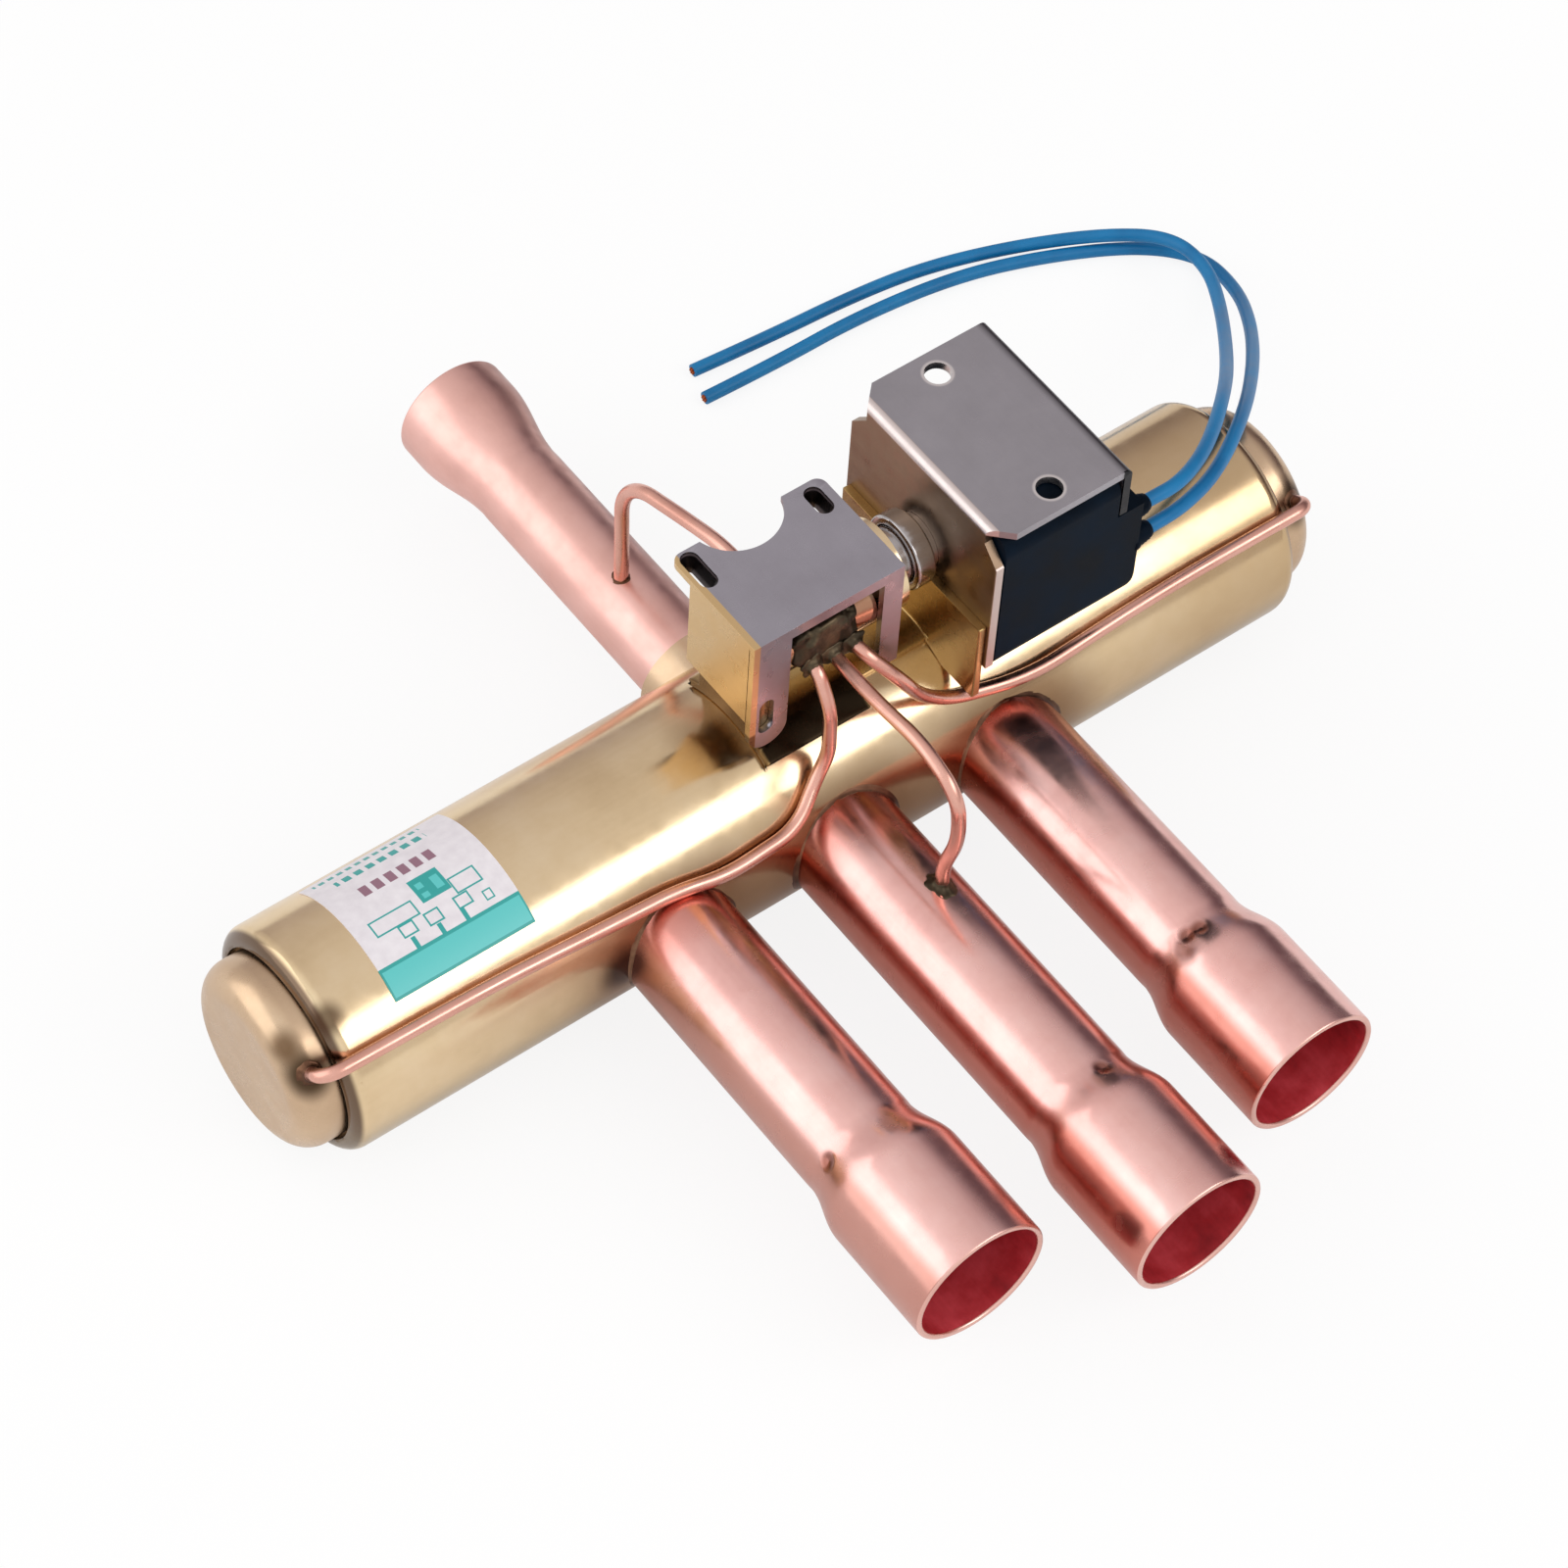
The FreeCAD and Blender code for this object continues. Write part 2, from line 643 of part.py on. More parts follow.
# Pistons: grooved brass discs with a bleed hole, a seal ring and two screws each
def build_pistons():
    for side, rotation in (("left", TO_LEFT), ("right", None)):
        piston = new_body("piston_" + side)
        rim = "body_bore / 2 - bore_gap"
        groove = "%s - seal_depth" % rim
        middle = "(piston_inner + piston_outer) / 2"
        low = "%s - seal_width / 2" % middle
        high = "%s + seal_width / 2" % middle
        turn(piston, [("piston_inner", "0"), ("piston_outer", "0"),
                      ("piston_outer", "%s - bore_gap" % rim), (high, "%s - bore_gap" % rim),
                      (high, groove), (low, groove), (low, "%s - bore_gap" % rim),
                      ("piston_inner", "%s - bore_gap" % rim)])
        holes = [("0", z, "screw_shank + 2 * screw_gap")
                 for z in ("-screw_spacing / 2", "screw_spacing / 2")]
        depth = "screw_length - carrier_sheet"
        pocket(piston, "YZ_Plane", "piston_inner", depth, circles=holes)
        bleed = [("screw_spacing / 2", "0", "bleed_bore")]
        pocket(piston, "YZ_Plane", "piston_inner", "piston_thickness", circles=bleed)
        place(piston, "slide_rest", "0", "0", rotation)
        seal = new_body("piston_seal_" + side)
        turn(seal, [(low, groove), (high, groove), (high, rim), (low, rim)])
        place(seal, "slide_rest", "0", "0", rotation)
        for number, level in (("1", "-screw_spacing / 2"), ("2", "screw_spacing / 2")):
            screw = new_body("piston_screw_%s_%s" % (side, number))
            head_start = "piston_inner - carrier_sheet - screw_head_height"
            head_end = "piston_inner - carrier_sheet"
            turn(screw, [(head_start, "0"), ("%s + screw_length" % head_end, "0"),
                         ("%s + screw_length" % head_end, "screw_shank / 2"),
                         (head_end, "screw_shank / 2"), (head_end, "screw_head / 2"),
                         (head_start, "screw_head / 2")])
            slot = box_outline("-screw_head_height / 4", "-screw_head", "screw_head_height / 4",
                               "screw_head")
            pocket(screw, "YZ_Plane", head_start, "screw_head_height / 3", outlines=[slot])
            place(screw, "slide_rest", "0", level, rotation)


# Pilot valve: small brass chamber with its own seat, slider and plunger
def build_pilot_body():
    body = new_body("pilot_body")
    left = "-pilot_reach_left"
    right = "pilot_reach_right"
    outer = "pilot_od / 2"
    chamber = "pilot_bore / 2"
    neck = "sleeve_od / 2 + braze_gap"
    floor = "-pilot_reach_left + pilot_floor"
    neck_start = "pilot_reach_right - pilot_neck"
    turn(body, [(left, "0"), (floor, "0"), (floor, chamber), (neck_start, chamber),
                (neck_start, neck), (right, neck), (right, outer), (left, outer)])
    ports = [(x, "-port_drop", "capillary_od + 2 * braze_gap") for x in pilot_places()]
    pocket(body, "XZ_Plane", "0", "pilot_od", circles=ports)
    supply = [("-supply_offset", "pilot_od / 4", "discharge_capillary_od + 2 * braze_gap")]
    pocket(body, "XZ_Plane", "-pilot_od", "pilot_od", circles=supply)
    place(body, "0", "0", "pilot_axis")


def pilot_places():
    return ("pilot_middle - pilot_pitch", "pilot_middle", "pilot_middle + pilot_pitch")


# Braze block: brass pad on the front of the pilot body that the capillaries enter
def build_braze_block():
    body = new_body("pilot_braze_block")
    left = "pilot_middle - braze_block_length / 2"
    right = "pilot_middle + braze_block_length / 2"
    low = "-braze_block_height / 2"
    high = "braze_block_height / 2"
    back = "pilot_od / 4"
    pad(body, "XZ_Plane", box_outline(left, low, right, high), back,
        "pilot_od / 2 + braze_block_proud - (%s)" % back)
    hollow = "pilot_od / 2 + braze_gap"
    turn_away(body, box_outline("-pilot_od", "0", "2 * pilot_od", hollow))
    ports = [(x, "-port_drop", "capillary_od + 2 * braze_gap") for x in pilot_places()]
    pocket(body, "XZ_Plane", "0", "pilot_od", circles=ports)
    place(body, "0", "0", "pilot_axis")


def build_pilot_seat():
    body = new_body("pilot_seat")
    radius = "(pilot_bore / 2 - braze_gap)"
    half_chord = "sqrt(%s * %s - pilot_seat_level * pilot_seat_level)" % (radius, radius)
    outline = [("-pilot_seat_level", "-(%s)" % half_chord),
               ("-pilot_seat_level", half_chord, radius)]
    pad(body, "YZ_Plane", outline, "pilot_middle - pilot_seat_length / 2", "pilot_seat_length")
    ports = [(x, "-port_drop", "pilot_port") for x in pilot_places()]
    pocket(body, "XZ_Plane", "0", "pilot_od", circles=ports)
    place(body, "0", "0", "pilot_axis")


def build_pilot_slider():
    body = new_body("pilot_slider")
    low = "pilot_seat_level - slide_gap"
    pad(body, "XZ_Plane", round_bar("pilot_slider_length", "pilot_slider_width"),
        "%s - pilot_slider_height" % low, "pilot_slider_height")
    cavity = round_bar("pilot_pitch + pilot_port", "pilot_slider_width - 2 * pilot_slider_wall")
    pocket(body, "XZ_Plane", "%s - pilot_slider_height / 2" % low, "pilot_slider_height",
           outlines=[cavity])
    place(body, "pilot_slide_rest", "0", "port_level")


# Pilot carrier: thin strip from the plunger's nose, with a window for the pilot slider
def build_pilot_carrier():
    body = new_body("pilot_carrier")
    left = "pilot_slide_rest - pilot_slider_length / 2 - pilot_window_gap - pilot_sheet"
    neck = "pilot_reach_right - pilot_neck - pilot_pitch - stop_gap"
    tail = "plunger_left + plunger_tail"
    low = "-port_drop - pilot_slider_width / 2 - pilot_window_gap - pilot_sheet"
    high = "sleeve_bore / 3"
    narrow = "-sleeve_bore / 3"
    outline = [(left, low), (neck, low), (neck, narrow), (tail, narrow), (tail, high),
               (left, high)]
    pad(body, "XZ_Plane", outline, "-(pilot_sheet_level) - pilot_sheet", "pilot_sheet")
    half = "pilot_slider_length / 2 + pilot_window_gap"
    side = "pilot_slider_width / 2 + pilot_window_gap"
    window = box_outline("pilot_slide_rest - (%s)" % half, "-port_drop - (%s)" % side,
                         "pilot_slide_rest + (%s)" % half, "-port_drop + (%s)" % side)
    pocket(body, "XZ_Plane", "-pilot_od / 2", "pilot_od", outlines=[window])
    place(body, "0", "0", "pilot_axis")


# Sleeve with its collar, plunger, fixed core and return spring
def build_plunger():
    sleeve = new_body("plunger_sleeve")
    outer = "sleeve_od / 2"
    inner = "sleeve_bore / 2"
    left = "pilot_reach_right - pilot_neck"
    right = "yoke_right - yoke_sheet"
    turn(sleeve, [(left, inner), (right, inner), (right, outer), (left, outer)])
    place(sleeve, "0", "0", "pilot_axis")

    collar = new_body("sleeve_collar")
    collar_right = "yoke_left - saddle_sheet - braze_gap"
    turn(collar, box_outline("%s - sleeve_collar_width" % collar_right, "sleeve_od / 2 + braze_gap",
                             collar_right, "sleeve_collar_od / 2"))
    place(collar, "0", "0", "pilot_axis")

    plunger = new_body("plunger")
    rim = "sleeve_bore / 2 - bore_gap"
    hollow = "spring_pocket / 2"
    turn(plunger, [("plunger_left", "0"), ("plunger_right - plunger_pocket_depth", "0"),
                   ("plunger_right - plunger_pocket_depth", hollow),
                   ("plunger_right", hollow), ("plunger_right", rim), ("plunger_left", rim)])
    slot = box_outline("plunger_left", "-sleeve_od", "plunger_left + plunger_tail", "sleeve_od")
    pocket(plunger, "XZ_Plane", "-(pilot_sheet_level) - pilot_sheet - screw_gap",
           "pilot_sheet + 2 * screw_gap", outlines=[slot])
    place(plunger, "0", "0", "pilot_axis")

    core = new_body("fixed_core")
    tight = "sleeve_bore / 2 - braze_gap"
    thread = "coil_screw_shank / 2 + screw_gap"
    thread_end = "yoke_right - coil_screw_length"
    turn(core, [("core_left", hollow), ("core_left", tight), (right, tight), (right, thread),
                (thread_end, thread), (thread_end, "0"),
                ("core_left + core_pocket_depth", "0"),
                ("core_left + core_pocket_depth", hollow)])
    place(core, "0", "0", "pilot_axis")

    spring = new_body("plunger_spring")
    start = "plunger_right - plunger_pocket_depth + spring_wire / 2"
    end = "core_left + core_pocket_depth - spring_wire / 2"
    sketch = add_sketch(spring, "XY_Plane")
    coil_radius = "spring_pocket / 2 - spring_gap - spring_wire / 2"
    draw_circle(sketch, start, coil_radius, "spring_wire")
    helix = spring.newObject("PartDesign::AdditiveHelix", "plunger_spring_helix")
    helix.Profile = sketch
    helix.ReferenceAxis = (sketch, ["H_Axis"])
    helix.Mode = 2
    helix.setExpression("Turns", bound("spring_turns"))
    helix.setExpression("Height", bound("%s - (%s)" % (end, start)))
    spring.Tip = helix
    place(spring, "0", "0", "pilot_axis")


# Coil: bobbin, copper winding and moulded case with a boss for the leads
def build_coil():
    bobbin = new_body("bobbin")
    bore = "sleeve_od / 2 + coil_gap"
    hub = "%s + bobbin_wall" % bore
    flange = "bobbin_flange / 2"
    inner_left = "coil_left + bobbin_wall"
    inner_right = "coil_right - bobbin_wall"
    turn(bobbin, [("coil_left", bore), ("coil_right", bore), ("coil_right", flange),
                  (inner_right, flange), (inner_right, hub), (inner_left, hub),
                  (inner_left, flange), ("coil_left", flange)])
    place(bobbin, "0", "0", "pilot_axis")

    winding = new_body("winding")
    turn(winding, [(inner_left, hub), (inner_right, hub), (inner_right, "winding_od / 2"),
                   (inner_left, "winding_od / 2")])
    place(winding, "0", "0", "pilot_axis")

    case = new_body("coil_case")
    half = "coil_od / 2"
    front = "-yoke_width / 2"
    corner = "coil_corner"
    low = "-coil_od / 2"
    front_in = "%s + %s" % (front, corner)
    section = [("0", low, half), ("0", half), (front_in, half, corner),
               (front, "%s - %s" % (half, corner)), (front, "%s + %s" % (low, corner), corner),
               (front_in, low)]
    pad(case, "YZ_Plane", section, "coil_left", "coil_right - coil_left")
    boss_back = "%s + boss_depth" % front
    boss_top = "%s + boss_height" % low
    boss = [(boss_back, boss_top), (front, boss_top), (front, "%s + %s" % (low, corner), corner),
            (front_in, low), (boss_back, low)]
    pad(case, "YZ_Plane", boss, "coil_right - boss_length", "2 * boss_length")
    boss_end = "coil_right + boss_length"
    round_start = "%s - boss_corner" % boss_end
    round_top = "%s + boss_corner" % low
    below = "%s - coil_gap" % low
    beyond = "%s + coil_gap" % boss_end
    off_corner = [(boss_end, round_top, "-boss_corner"), (round_start, low),
                  (round_start, below), (beyond, below), (beyond, round_top)]
    pocket(case, "XZ_Plane", "0", "yoke_width", outlines=[off_corner])
    turn_away(case, box_outline("0", "0", "2 * yoke_right", "bobbin_flange / 2 + braze_gap"))
    places = [(y, z, "lead_od + 2 * braze_gap") for y, z in lead_holes()]
    pocket(case, "YZ_Plane", "coil_right + boss_length / 2", "boss_length / 2", circles=places)
    place(case, "0", "0", "pilot_axis")

    screw = new_body("coil_screw")
    under = "yoke_right"
    tip = "yoke_right - coil_screw_length"
    over = "yoke_right + coil_screw_head_height"
    shank = "coil_screw_shank / 2"
    head = "coil_screw_head / 2"
    turn(screw, [(tip, "0"), (over, "0"), (over, "%s - screw_shank / 4" % head, "screw_shank / 4"),
                 ("%s - screw_shank / 4" % over, head), (under, head), (under, shank),
                 (tip, shank)])
    cross = [box_outline("-yoke_sheet / 3", "-coil_screw_shank / 2", "yoke_sheet / 3",
                         "coil_screw_shank / 2")]
    pocket(screw, "YZ_Plane", "%s - coil_screw_head_height / 2" % over,
           "coil_screw_head_height / 2", outlines=cross)
    place(screw, "0", "0", "pilot_axis")


def lead_holes():
    """Places of the two leads on the boss, from the pilot's axis: lower one first."""
    front = "-yoke_width / 2 + lead_inset"
    return ((front, "-lead_drop"), ("%s + lead_step" % front, "lead_lift"))


# Yoke: folded steel sheet over the coil
def build_yoke():
    body = new_body("coil_yoke")
    half = "yoke_width / 2"
    top = "yoke_top"
    low = "yoke_top - yoke_drop"
    cut_left = "yoke_left + yoke_corner"
    plate = [("yoke_left", "-(%s) + yoke_corner" % half), (cut_left, "-(%s)" % half),
             ("yoke_right", "-(%s)" % half), ("yoke_right", half), (cut_left, half),
             ("yoke_left", "%s - yoke_corner" % half)]
    pad(body, "XY_Plane", plate, "yoke_under", "yoke_sheet")
    left_wall = [("-(%s)" % half, low), (half, low), (half, "%s - 2 * yoke_corner" % top),
                 ("%s - yoke_corner" % half, "%s - yoke_corner" % top),
                 ("%s - yoke_corner" % half, top), ("-(%s) + yoke_corner" % half, top),
                 ("-(%s) + yoke_corner" % half, "%s - yoke_corner" % top),
                 ("-(%s)" % half, "%s - 2 * yoke_corner" % top)]
    pad(body, "YZ_Plane", left_wall, "yoke_left", "yoke_sheet")
    notch_back = "-(%s) + boss_depth + coil_gap" % half
    shoulder = "pilot_axis - coil_od / 2 + boss_height + coil_gap"
    right_wall = [(notch_back, low), (half, low), (half, top), ("-(%s)" % half, top),
                  ("-(%s)" % half, shoulder), (notch_back, shoulder)]
    pad(body, "YZ_Plane", right_wall, "yoke_right - yoke_sheet", "yoke_sheet")
    middle = "(yoke_left + yoke_right) / 2"
    screw_holes = [(middle, "-yoke_hole_spacing / 2", "yoke_hole"),
                   (middle, "yoke_hole_spacing / 2", "yoke_hole")]
    pocket(body, "XY_Plane", "yoke_under", "yoke_sheet", circles=screw_holes)
    sleeve_hole = [("0", "pilot_axis", "sleeve_od + 2 * braze_gap")]
    pocket(body, "YZ_Plane", "yoke_left", "yoke_sheet", circles=sleeve_hole)
    screw_hole = [("0", "pilot_axis", "coil_screw_shank + 2 * screw_gap")]
    pocket(body, "YZ_Plane", "yoke_right - yoke_sheet", "yoke_sheet", circles=screw_hole)

    def is_fold(point):
        at_side = near(point.x, "yoke_left") or near(point.x, "yoke_right")
        return at_side and near(point.z, top) and abs(point.y) < 0.01
    soften(body, "Fillet", is_fold, "yoke_sheet")
    place(body, "0", "0", "0")


# Pilot bracket: folded sheet over the pilot body, with slotted ears in front and behind
def build_pilot_bracket():
    body = new_body("pilot_bracket")
    left = "-bracket_left"
    right = "bracket_right"
    front = "-bracket_front"
    back = "bracket_back"
    notch_left = "-bracket_left + left_ear_width"
    notch_right = "bracket_right - right_ear_width"
    notch_radius = "0.52 * (bracket_right + bracket_left - left_ear_width - right_ear_width)"
    ear_radius = "ear_width / 4"
    wall_front = "-bracket_front + bracket_sheet + corner_gap"
    plate = [(left, front), (right, front),
             (right, "%s - %s" % (back, ear_radius), ear_radius),
             ("%s - %s" % (right, ear_radius), back),
             (notch_right, back, "-(%s)" % notch_radius), (notch_left, back),
             ("%s + %s" % (left, ear_radius), back, ear_radius),
             (left, "%s - %s" % (back, ear_radius))]
    pad(body, "XY_Plane", plate, "bracket_under", "bracket_sheet")
    wall_back = "%s + bracket_wall_width" % wall_front
    wall = box_outline(wall_front, "bracket_top - bracket_wall_drop", wall_back, "bracket_top")
    pad(body, "YZ_Plane", wall, left, "bracket_sheet")
    skirt = "bracket_top - 2 * bracket_sheet"
    ear_low = "bracket_top - ear_length"
    right_low = "bracket_top - ear_length + slot_width"
    front_in = "bracket_front - bracket_sheet"
    ear_round = "ear_width / 2"
    ear_round_start = "%s + %s" % (ear_low, ear_round)
    ear_right = "%s + ear_width" % left
    front_ears = [(left, "bracket_top"), (left, ear_round_start, ear_round),
                  (ear_right, ear_round_start), (ear_right, skirt),
                  (notch_right_front(), skirt), (notch_right_front(), right_low),
                  (right, right_low), (right, "bracket_top")]
    pad(body, "XZ_Plane", front_ears, front_in, "bracket_sheet")
    back_slots = [slot_outline("%s + slot_width * 3 / 4" % left,
                               "%s - slot_length * 5 / 9" % back,
                               "slot_length", "slot_width"),
                  slot_outline("%s - slot_width" % right, "%s - slot_length / 2" % back,
                               "slot_length * 3 / 4", "slot_width")]
    pocket(body, "XY_Plane", "bracket_under", "bracket_sheet", outlines=back_slots)
    front_slots = [slot_outline("%s + ear_width * 3 / 7" % left,
                                "%s + ear_width / 2 + slot_length / 2" % ear_low,
                                "slot_length", "slot_width / 2 + bracket_sheet")]
    pocket(body, "XZ_Plane", front_in, "bracket_sheet", outlines=front_slots)
    place(body, "0", "0", "0")


def notch_right_front():
    """Left side of the right front ear, which is the narrower one."""
    return "bracket_right - right_ear_width / 2"


# Saddle bracket: curved foot on the body, cradle for the pilot body and stay for the yoke
def build_saddle():
    body = new_body("saddle_bracket")
    outer = "saddle_radius + saddle_sheet"
    stay_left = "yoke_left - saddle_sheet"
    turn(body, box_outline("-saddle_left", "saddle_radius", "saddle_right", outer),
         plane="XZ_Plane", angle="saddle_angle")
    turn(body, box_outline("-saddle_left", "saddle_radius", "yoke_left", outer),
         plane="XZ_Plane", angle="saddle_neck_angle")
    half = "saddle_wall_width / 2"
    low = "body_od / 2 - stay_bottom"
    cradle = box_outline("-(%s)" % half, low, half, "body_od / 2 + saddle_wall_height")
    pad(body, "YZ_Plane", cradle, "-saddle_left", "saddle_sheet")
    side = "stay_width / 2"
    stay = box_outline("-(%s)" % side, low, side, "body_od / 2 + stay_top")
    pad(body, "YZ_Plane", stay, stay_left, "saddle_sheet")
    turn_away(body, box_outline("-2 * saddle_left", "0", "2 * yoke_left", "saddle_radius"))
    hollow = [("0", "pilot_axis", "pilot_od + 2 * braze_gap")]
    pocket(body, "YZ_Plane", "-saddle_left", "saddle_sheet", circles=hollow)
    passage = [("0", "pilot_axis", "sleeve_od + 2 * braze_gap")]
    pocket(body, "YZ_Plane", stay_left, "saddle_sheet", circles=passage)
    place(body, "0", "0", "0")


# Label: thin printed sheet round the top of the body
def build_label():
    body = new_body("label")
    inner = "body_od / 2"
    turn(body, box_outline("-label_left", inner, "-label_left + label_length",
                           "body_od / 2 + label_sheet"), angle="label_sweep")
    tilt = size("label_start_angle + label_sweep / 2")
    place(body, "0", "0", "0", FreeCAD.Rotation(V(1, 0, 0), tilt))


def rounded_path(points, name):
    """Straight runs joined by tangent arcs, each as large as its two runs allow."""
    edges = []
    start = points[0]
    radii = []
    for before, corner, after in zip(points, points[1:], points[2:]):
        back = before - corner
        ahead = after - corner
        half_turn = (math.pi - back.getAngle(ahead)) / 2
        reach = 0.45 * min(back.Length, ahead.Length)
        radii.append(reach / math.tan(half_turn))
        back.normalize()
        ahead.normalize()
        arc_start = corner + back * reach
        arc_end = corner + ahead * reach
        inward = (back + ahead).normalize()
        radius = radii[-1]
        centre = corner + inward * (radius / math.cos(half_turn))
        arc_middle = centre - inward * radius
        edges.append(Part.LineSegment(start, arc_start).toShape())
        edges.append(Part.Arc(arc_start, arc_middle, arc_end).toShape())
        start = arc_end
    edges.append(Part.LineSegment(start, points[-1]).toShape())
    print(name, "length %.1f" % sum(edge.Length for edge in edges),
          "radii", " ".join("%.1f" % radius for radius in radii))
    return Part.Wire(edges)


def swept_round(path, diameter, name):
    """Solid rod along a path, checked against its section times its length."""
    first = path.Edges[0]
    start = first.valueAt(first.FirstParameter)
    direction = first.tangentAt(first.FirstParameter)
    ring = Part.Wire([Part.makeCircle(diameter / 2, start, direction)])
    rod = path.makePipeShell([ring], True, False)
    expected = math.pi * diameter ** 2 / 4 * path.Length
    share = rod.Volume / expected
    print(name, "volume against section times length: %.4f" % share)
    if not 0.98 < share < 1.02:
        raise RuntimeError(name + " has the wrong volume")
    return rod


def add_rod(label, points, diameter, bore=0):
    """Bent rod or tube through a list of points, in the part's own frame."""
    path = rounded_path(points, label)
    shape = swept_round(path, diameter, label)
    if bore:
        shape = shape.cut(swept_round(path, bore, label + " bore"))
    if shape.ShapeType == "Compound":
        shape = shape.Solids[0]
    piece = doc.addObject("Part::Feature", label)
    piece.Shape = shape
    piece.Placement = FreeCAD.Placement()
    keep(piece, label)


def from_axis(x, y, z):
    """A point of the part's frame, given from the axis of the main body."""
    return V(size(x), size("axis_y + (%s)" % y), size("axis_z + (%s)" % z))


def on_body(x, angle):
    """A point where a capillary lies along the main body, by its angle round the body."""
    radius = size("body_od / 2 + capillary_od / 2 + capillary_air")
    turned = math.radians(angle)
    return V(size(x), size("axis_y") + radius * math.cos(turned),
             size("axis_z") + radius * math.sin(turned))


# Capillaries: copper tubes from the pilot valve to both caps and two of the tubes
def build_capillaries():
    diameter = size("capillary_od")
    bore = diameter - 2 * size("capillary_wall")
    entry = capillary_entry()
    inner_end = "-(pilot_bore / 2 + braze_gap)"
    left_port, middle_port, right_port = pilot_places()

    def cap_end(sign):
        turned = math.radians(size("capillary_angle"))
        radius = size("cap_od / 2 - cap_wall / 2")
        return V(size("%s(%s)" % (sign, entry)), size("axis_y") + radius * math.cos(turned),
                 size("axis_z") + radius * math.sin(turned))

    front = "-(pilot_od / 2 + braze_block_proud)"
    near_left = [from_axis(left_port, inner_end, "port_level"),
                 from_axis(left_port, "%s - capillary_od / 2" % front, "port_level"),
                 from_axis(left_port, "%s - 2.1 * capillary_od" % front,
                           "port_level - 2.6 * capillary_od"),
                 from_axis(left_port, "%s - 2.3 * capillary_od" % front, "body_od / 2"),
                 on_body("%s - capillary_od" % left_port, 134)]
    along_left = [on_body("-0.3 * port_pitch", 150), on_body("-0.72 * port_pitch", 152.5),
                  on_body("-port_pitch", 147), on_body("-1.4 * port_pitch", 145),
                  on_body("-2 * port_pitch", 141.5),
                  on_body("-(%s)" % entry, size("capillary_angle")), cap_end("-")]
    add_rod("capillary_left", near_left + along_left, diameter, bore)

    near_right = [from_axis(right_port, inner_end, "port_level"),
                  from_axis(right_port, "%s - capillary_od" % front, "port_level"),
                  from_axis("%s + 2 * capillary_od" % right_port, "%s - 3 * capillary_od" % front,
                            "port_level - 2.5 * capillary_od"),
                  from_axis("%s + 4 * capillary_od" % right_port, "%s - 2.6 * capillary_od" % front,
                            "port_level - 6 * capillary_od"),
                  on_body("pilot_reach_right + 2 * capillary_od", 134)]
    along_right = [on_body("1.15 * port_pitch", 143), on_body("2 * port_pitch", 139.3),
                   on_body(entry, size("capillary_angle")), cap_end("")]
    add_rod("capillary_right", near_right + along_right, diameter, bore)

    top = "tube_od / 2 - tube_wall"
    middle = [from_axis(middle_port, inner_end, "port_level"),
              from_axis(middle_port, "-0.5 * body_od", "port_level - capillary_od / 8"),
              from_axis(middle_port, "-0.8 * body_od", "port_level + 0.6 * capillary_od"),
              from_axis(middle_port, "-1.04 * body_od", "port_level - 0.8 * capillary_od"),
              from_axis(middle_port, "-1.07 * body_od", "body_od / 2 + 2 * capillary_od"),
              from_axis(middle_port, "-body_od", "tube_od / 2 + 2 * capillary_od"),
              from_axis(middle_port, "-body_od", top)]
    add_rod("capillary_middle", middle, diameter, bore)

    supply_level = "pilot_axis + pilot_od / 4"
    across = "-supply_offset"
    supply = [from_axis(across, "supply_place", "discharge_od / 2 - discharge_wall"),
              from_axis(across, "supply_place", "discharge_od - discharge_capillary_od"),
              from_axis(across, "1.015 * supply_place", "%s - 0.6 * pilot_od" % supply_level),
              from_axis(across, "0.56 * supply_place",
                        "%s - 1.1 * discharge_capillary_od" % supply_level),
              from_axis(across, "0.36 * supply_place", supply_level),
              from_axis(across, "pilot_bore / 2 - pilot_wall / 2", supply_level)]
    wide = size("discharge_capillary_od")
    add_rod("capillary_discharge", supply, wide, wide - 2 * size("capillary_wall"))


# Leads: two bare-ended wires from the boss, over the body's right end to the surface behind
LEAD_OUTER = [V(54.9, -7.5, 54.6), V(60.5, -7.5, 54.6), V(69.5, -6.7, 53.4),
              V(80.4, -2.7, 50.8), V(96.6, 8.6, 44.4), V(115.9, 26.6, 26.4),
              V(130.0, 42.0, 12.4), V(138.0, 54.0, 4.8), V(140.2, 65.8, 1.4),
              V(132.6, 74.4, 1.2), V(117.4, 82.1, 1.2), V(101.0, 87.6, 1.2),
              V(80.4, 90.0, 1.2), V(61.6, 89.8, 1.2), V(46.8, 90.4, 1.2)]
LEAD_INNER = [V(54.9, -6.2, 60.0), V(60.5, -6.2, 60.0), V(69.0, -5.9, 59.1),
              V(80.0, -0.1, 55.2), V(94.8, 12.2, 47.4), V(113.3, 30.7, 26.4),
              V(127.6, 47.6, 13.4), V(134.8, 59.2, 8.4), V(135.4, 69.8, 6.2),
              V(127.2, 78.6, 4.0), V(113.3, 87.2, 1.6), V(97.2, 92.6, 1.2),
              V(81.4, 94.6, 1.2), V(64.0, 95.4, 1.2), V(48.8, 96.7, 1.2)]


def build_leads():
    diameter = size("lead_od")
    add_rod("lead_outer", LEAD_OUTER, diameter)
    add_rod("lead_inner", LEAD_INNER, diameter)


def build_all():
    build_main_body()
    build_caps()
    build_tubes()
    build_collar()
    build_seat()
    build_main_slider()
    build_carrier()
    build_leaf()
    build_pistons()
    build_pilot_body()
    build_braze_block()
    build_pilot_seat()
    build_pilot_slider()
    build_pilot_carrier()
    build_plunger()
    build_coil()
    build_yoke()
    build_pilot_bracket()
    build_saddle()
    build_label()
    build_capillaries()
    build_leads()


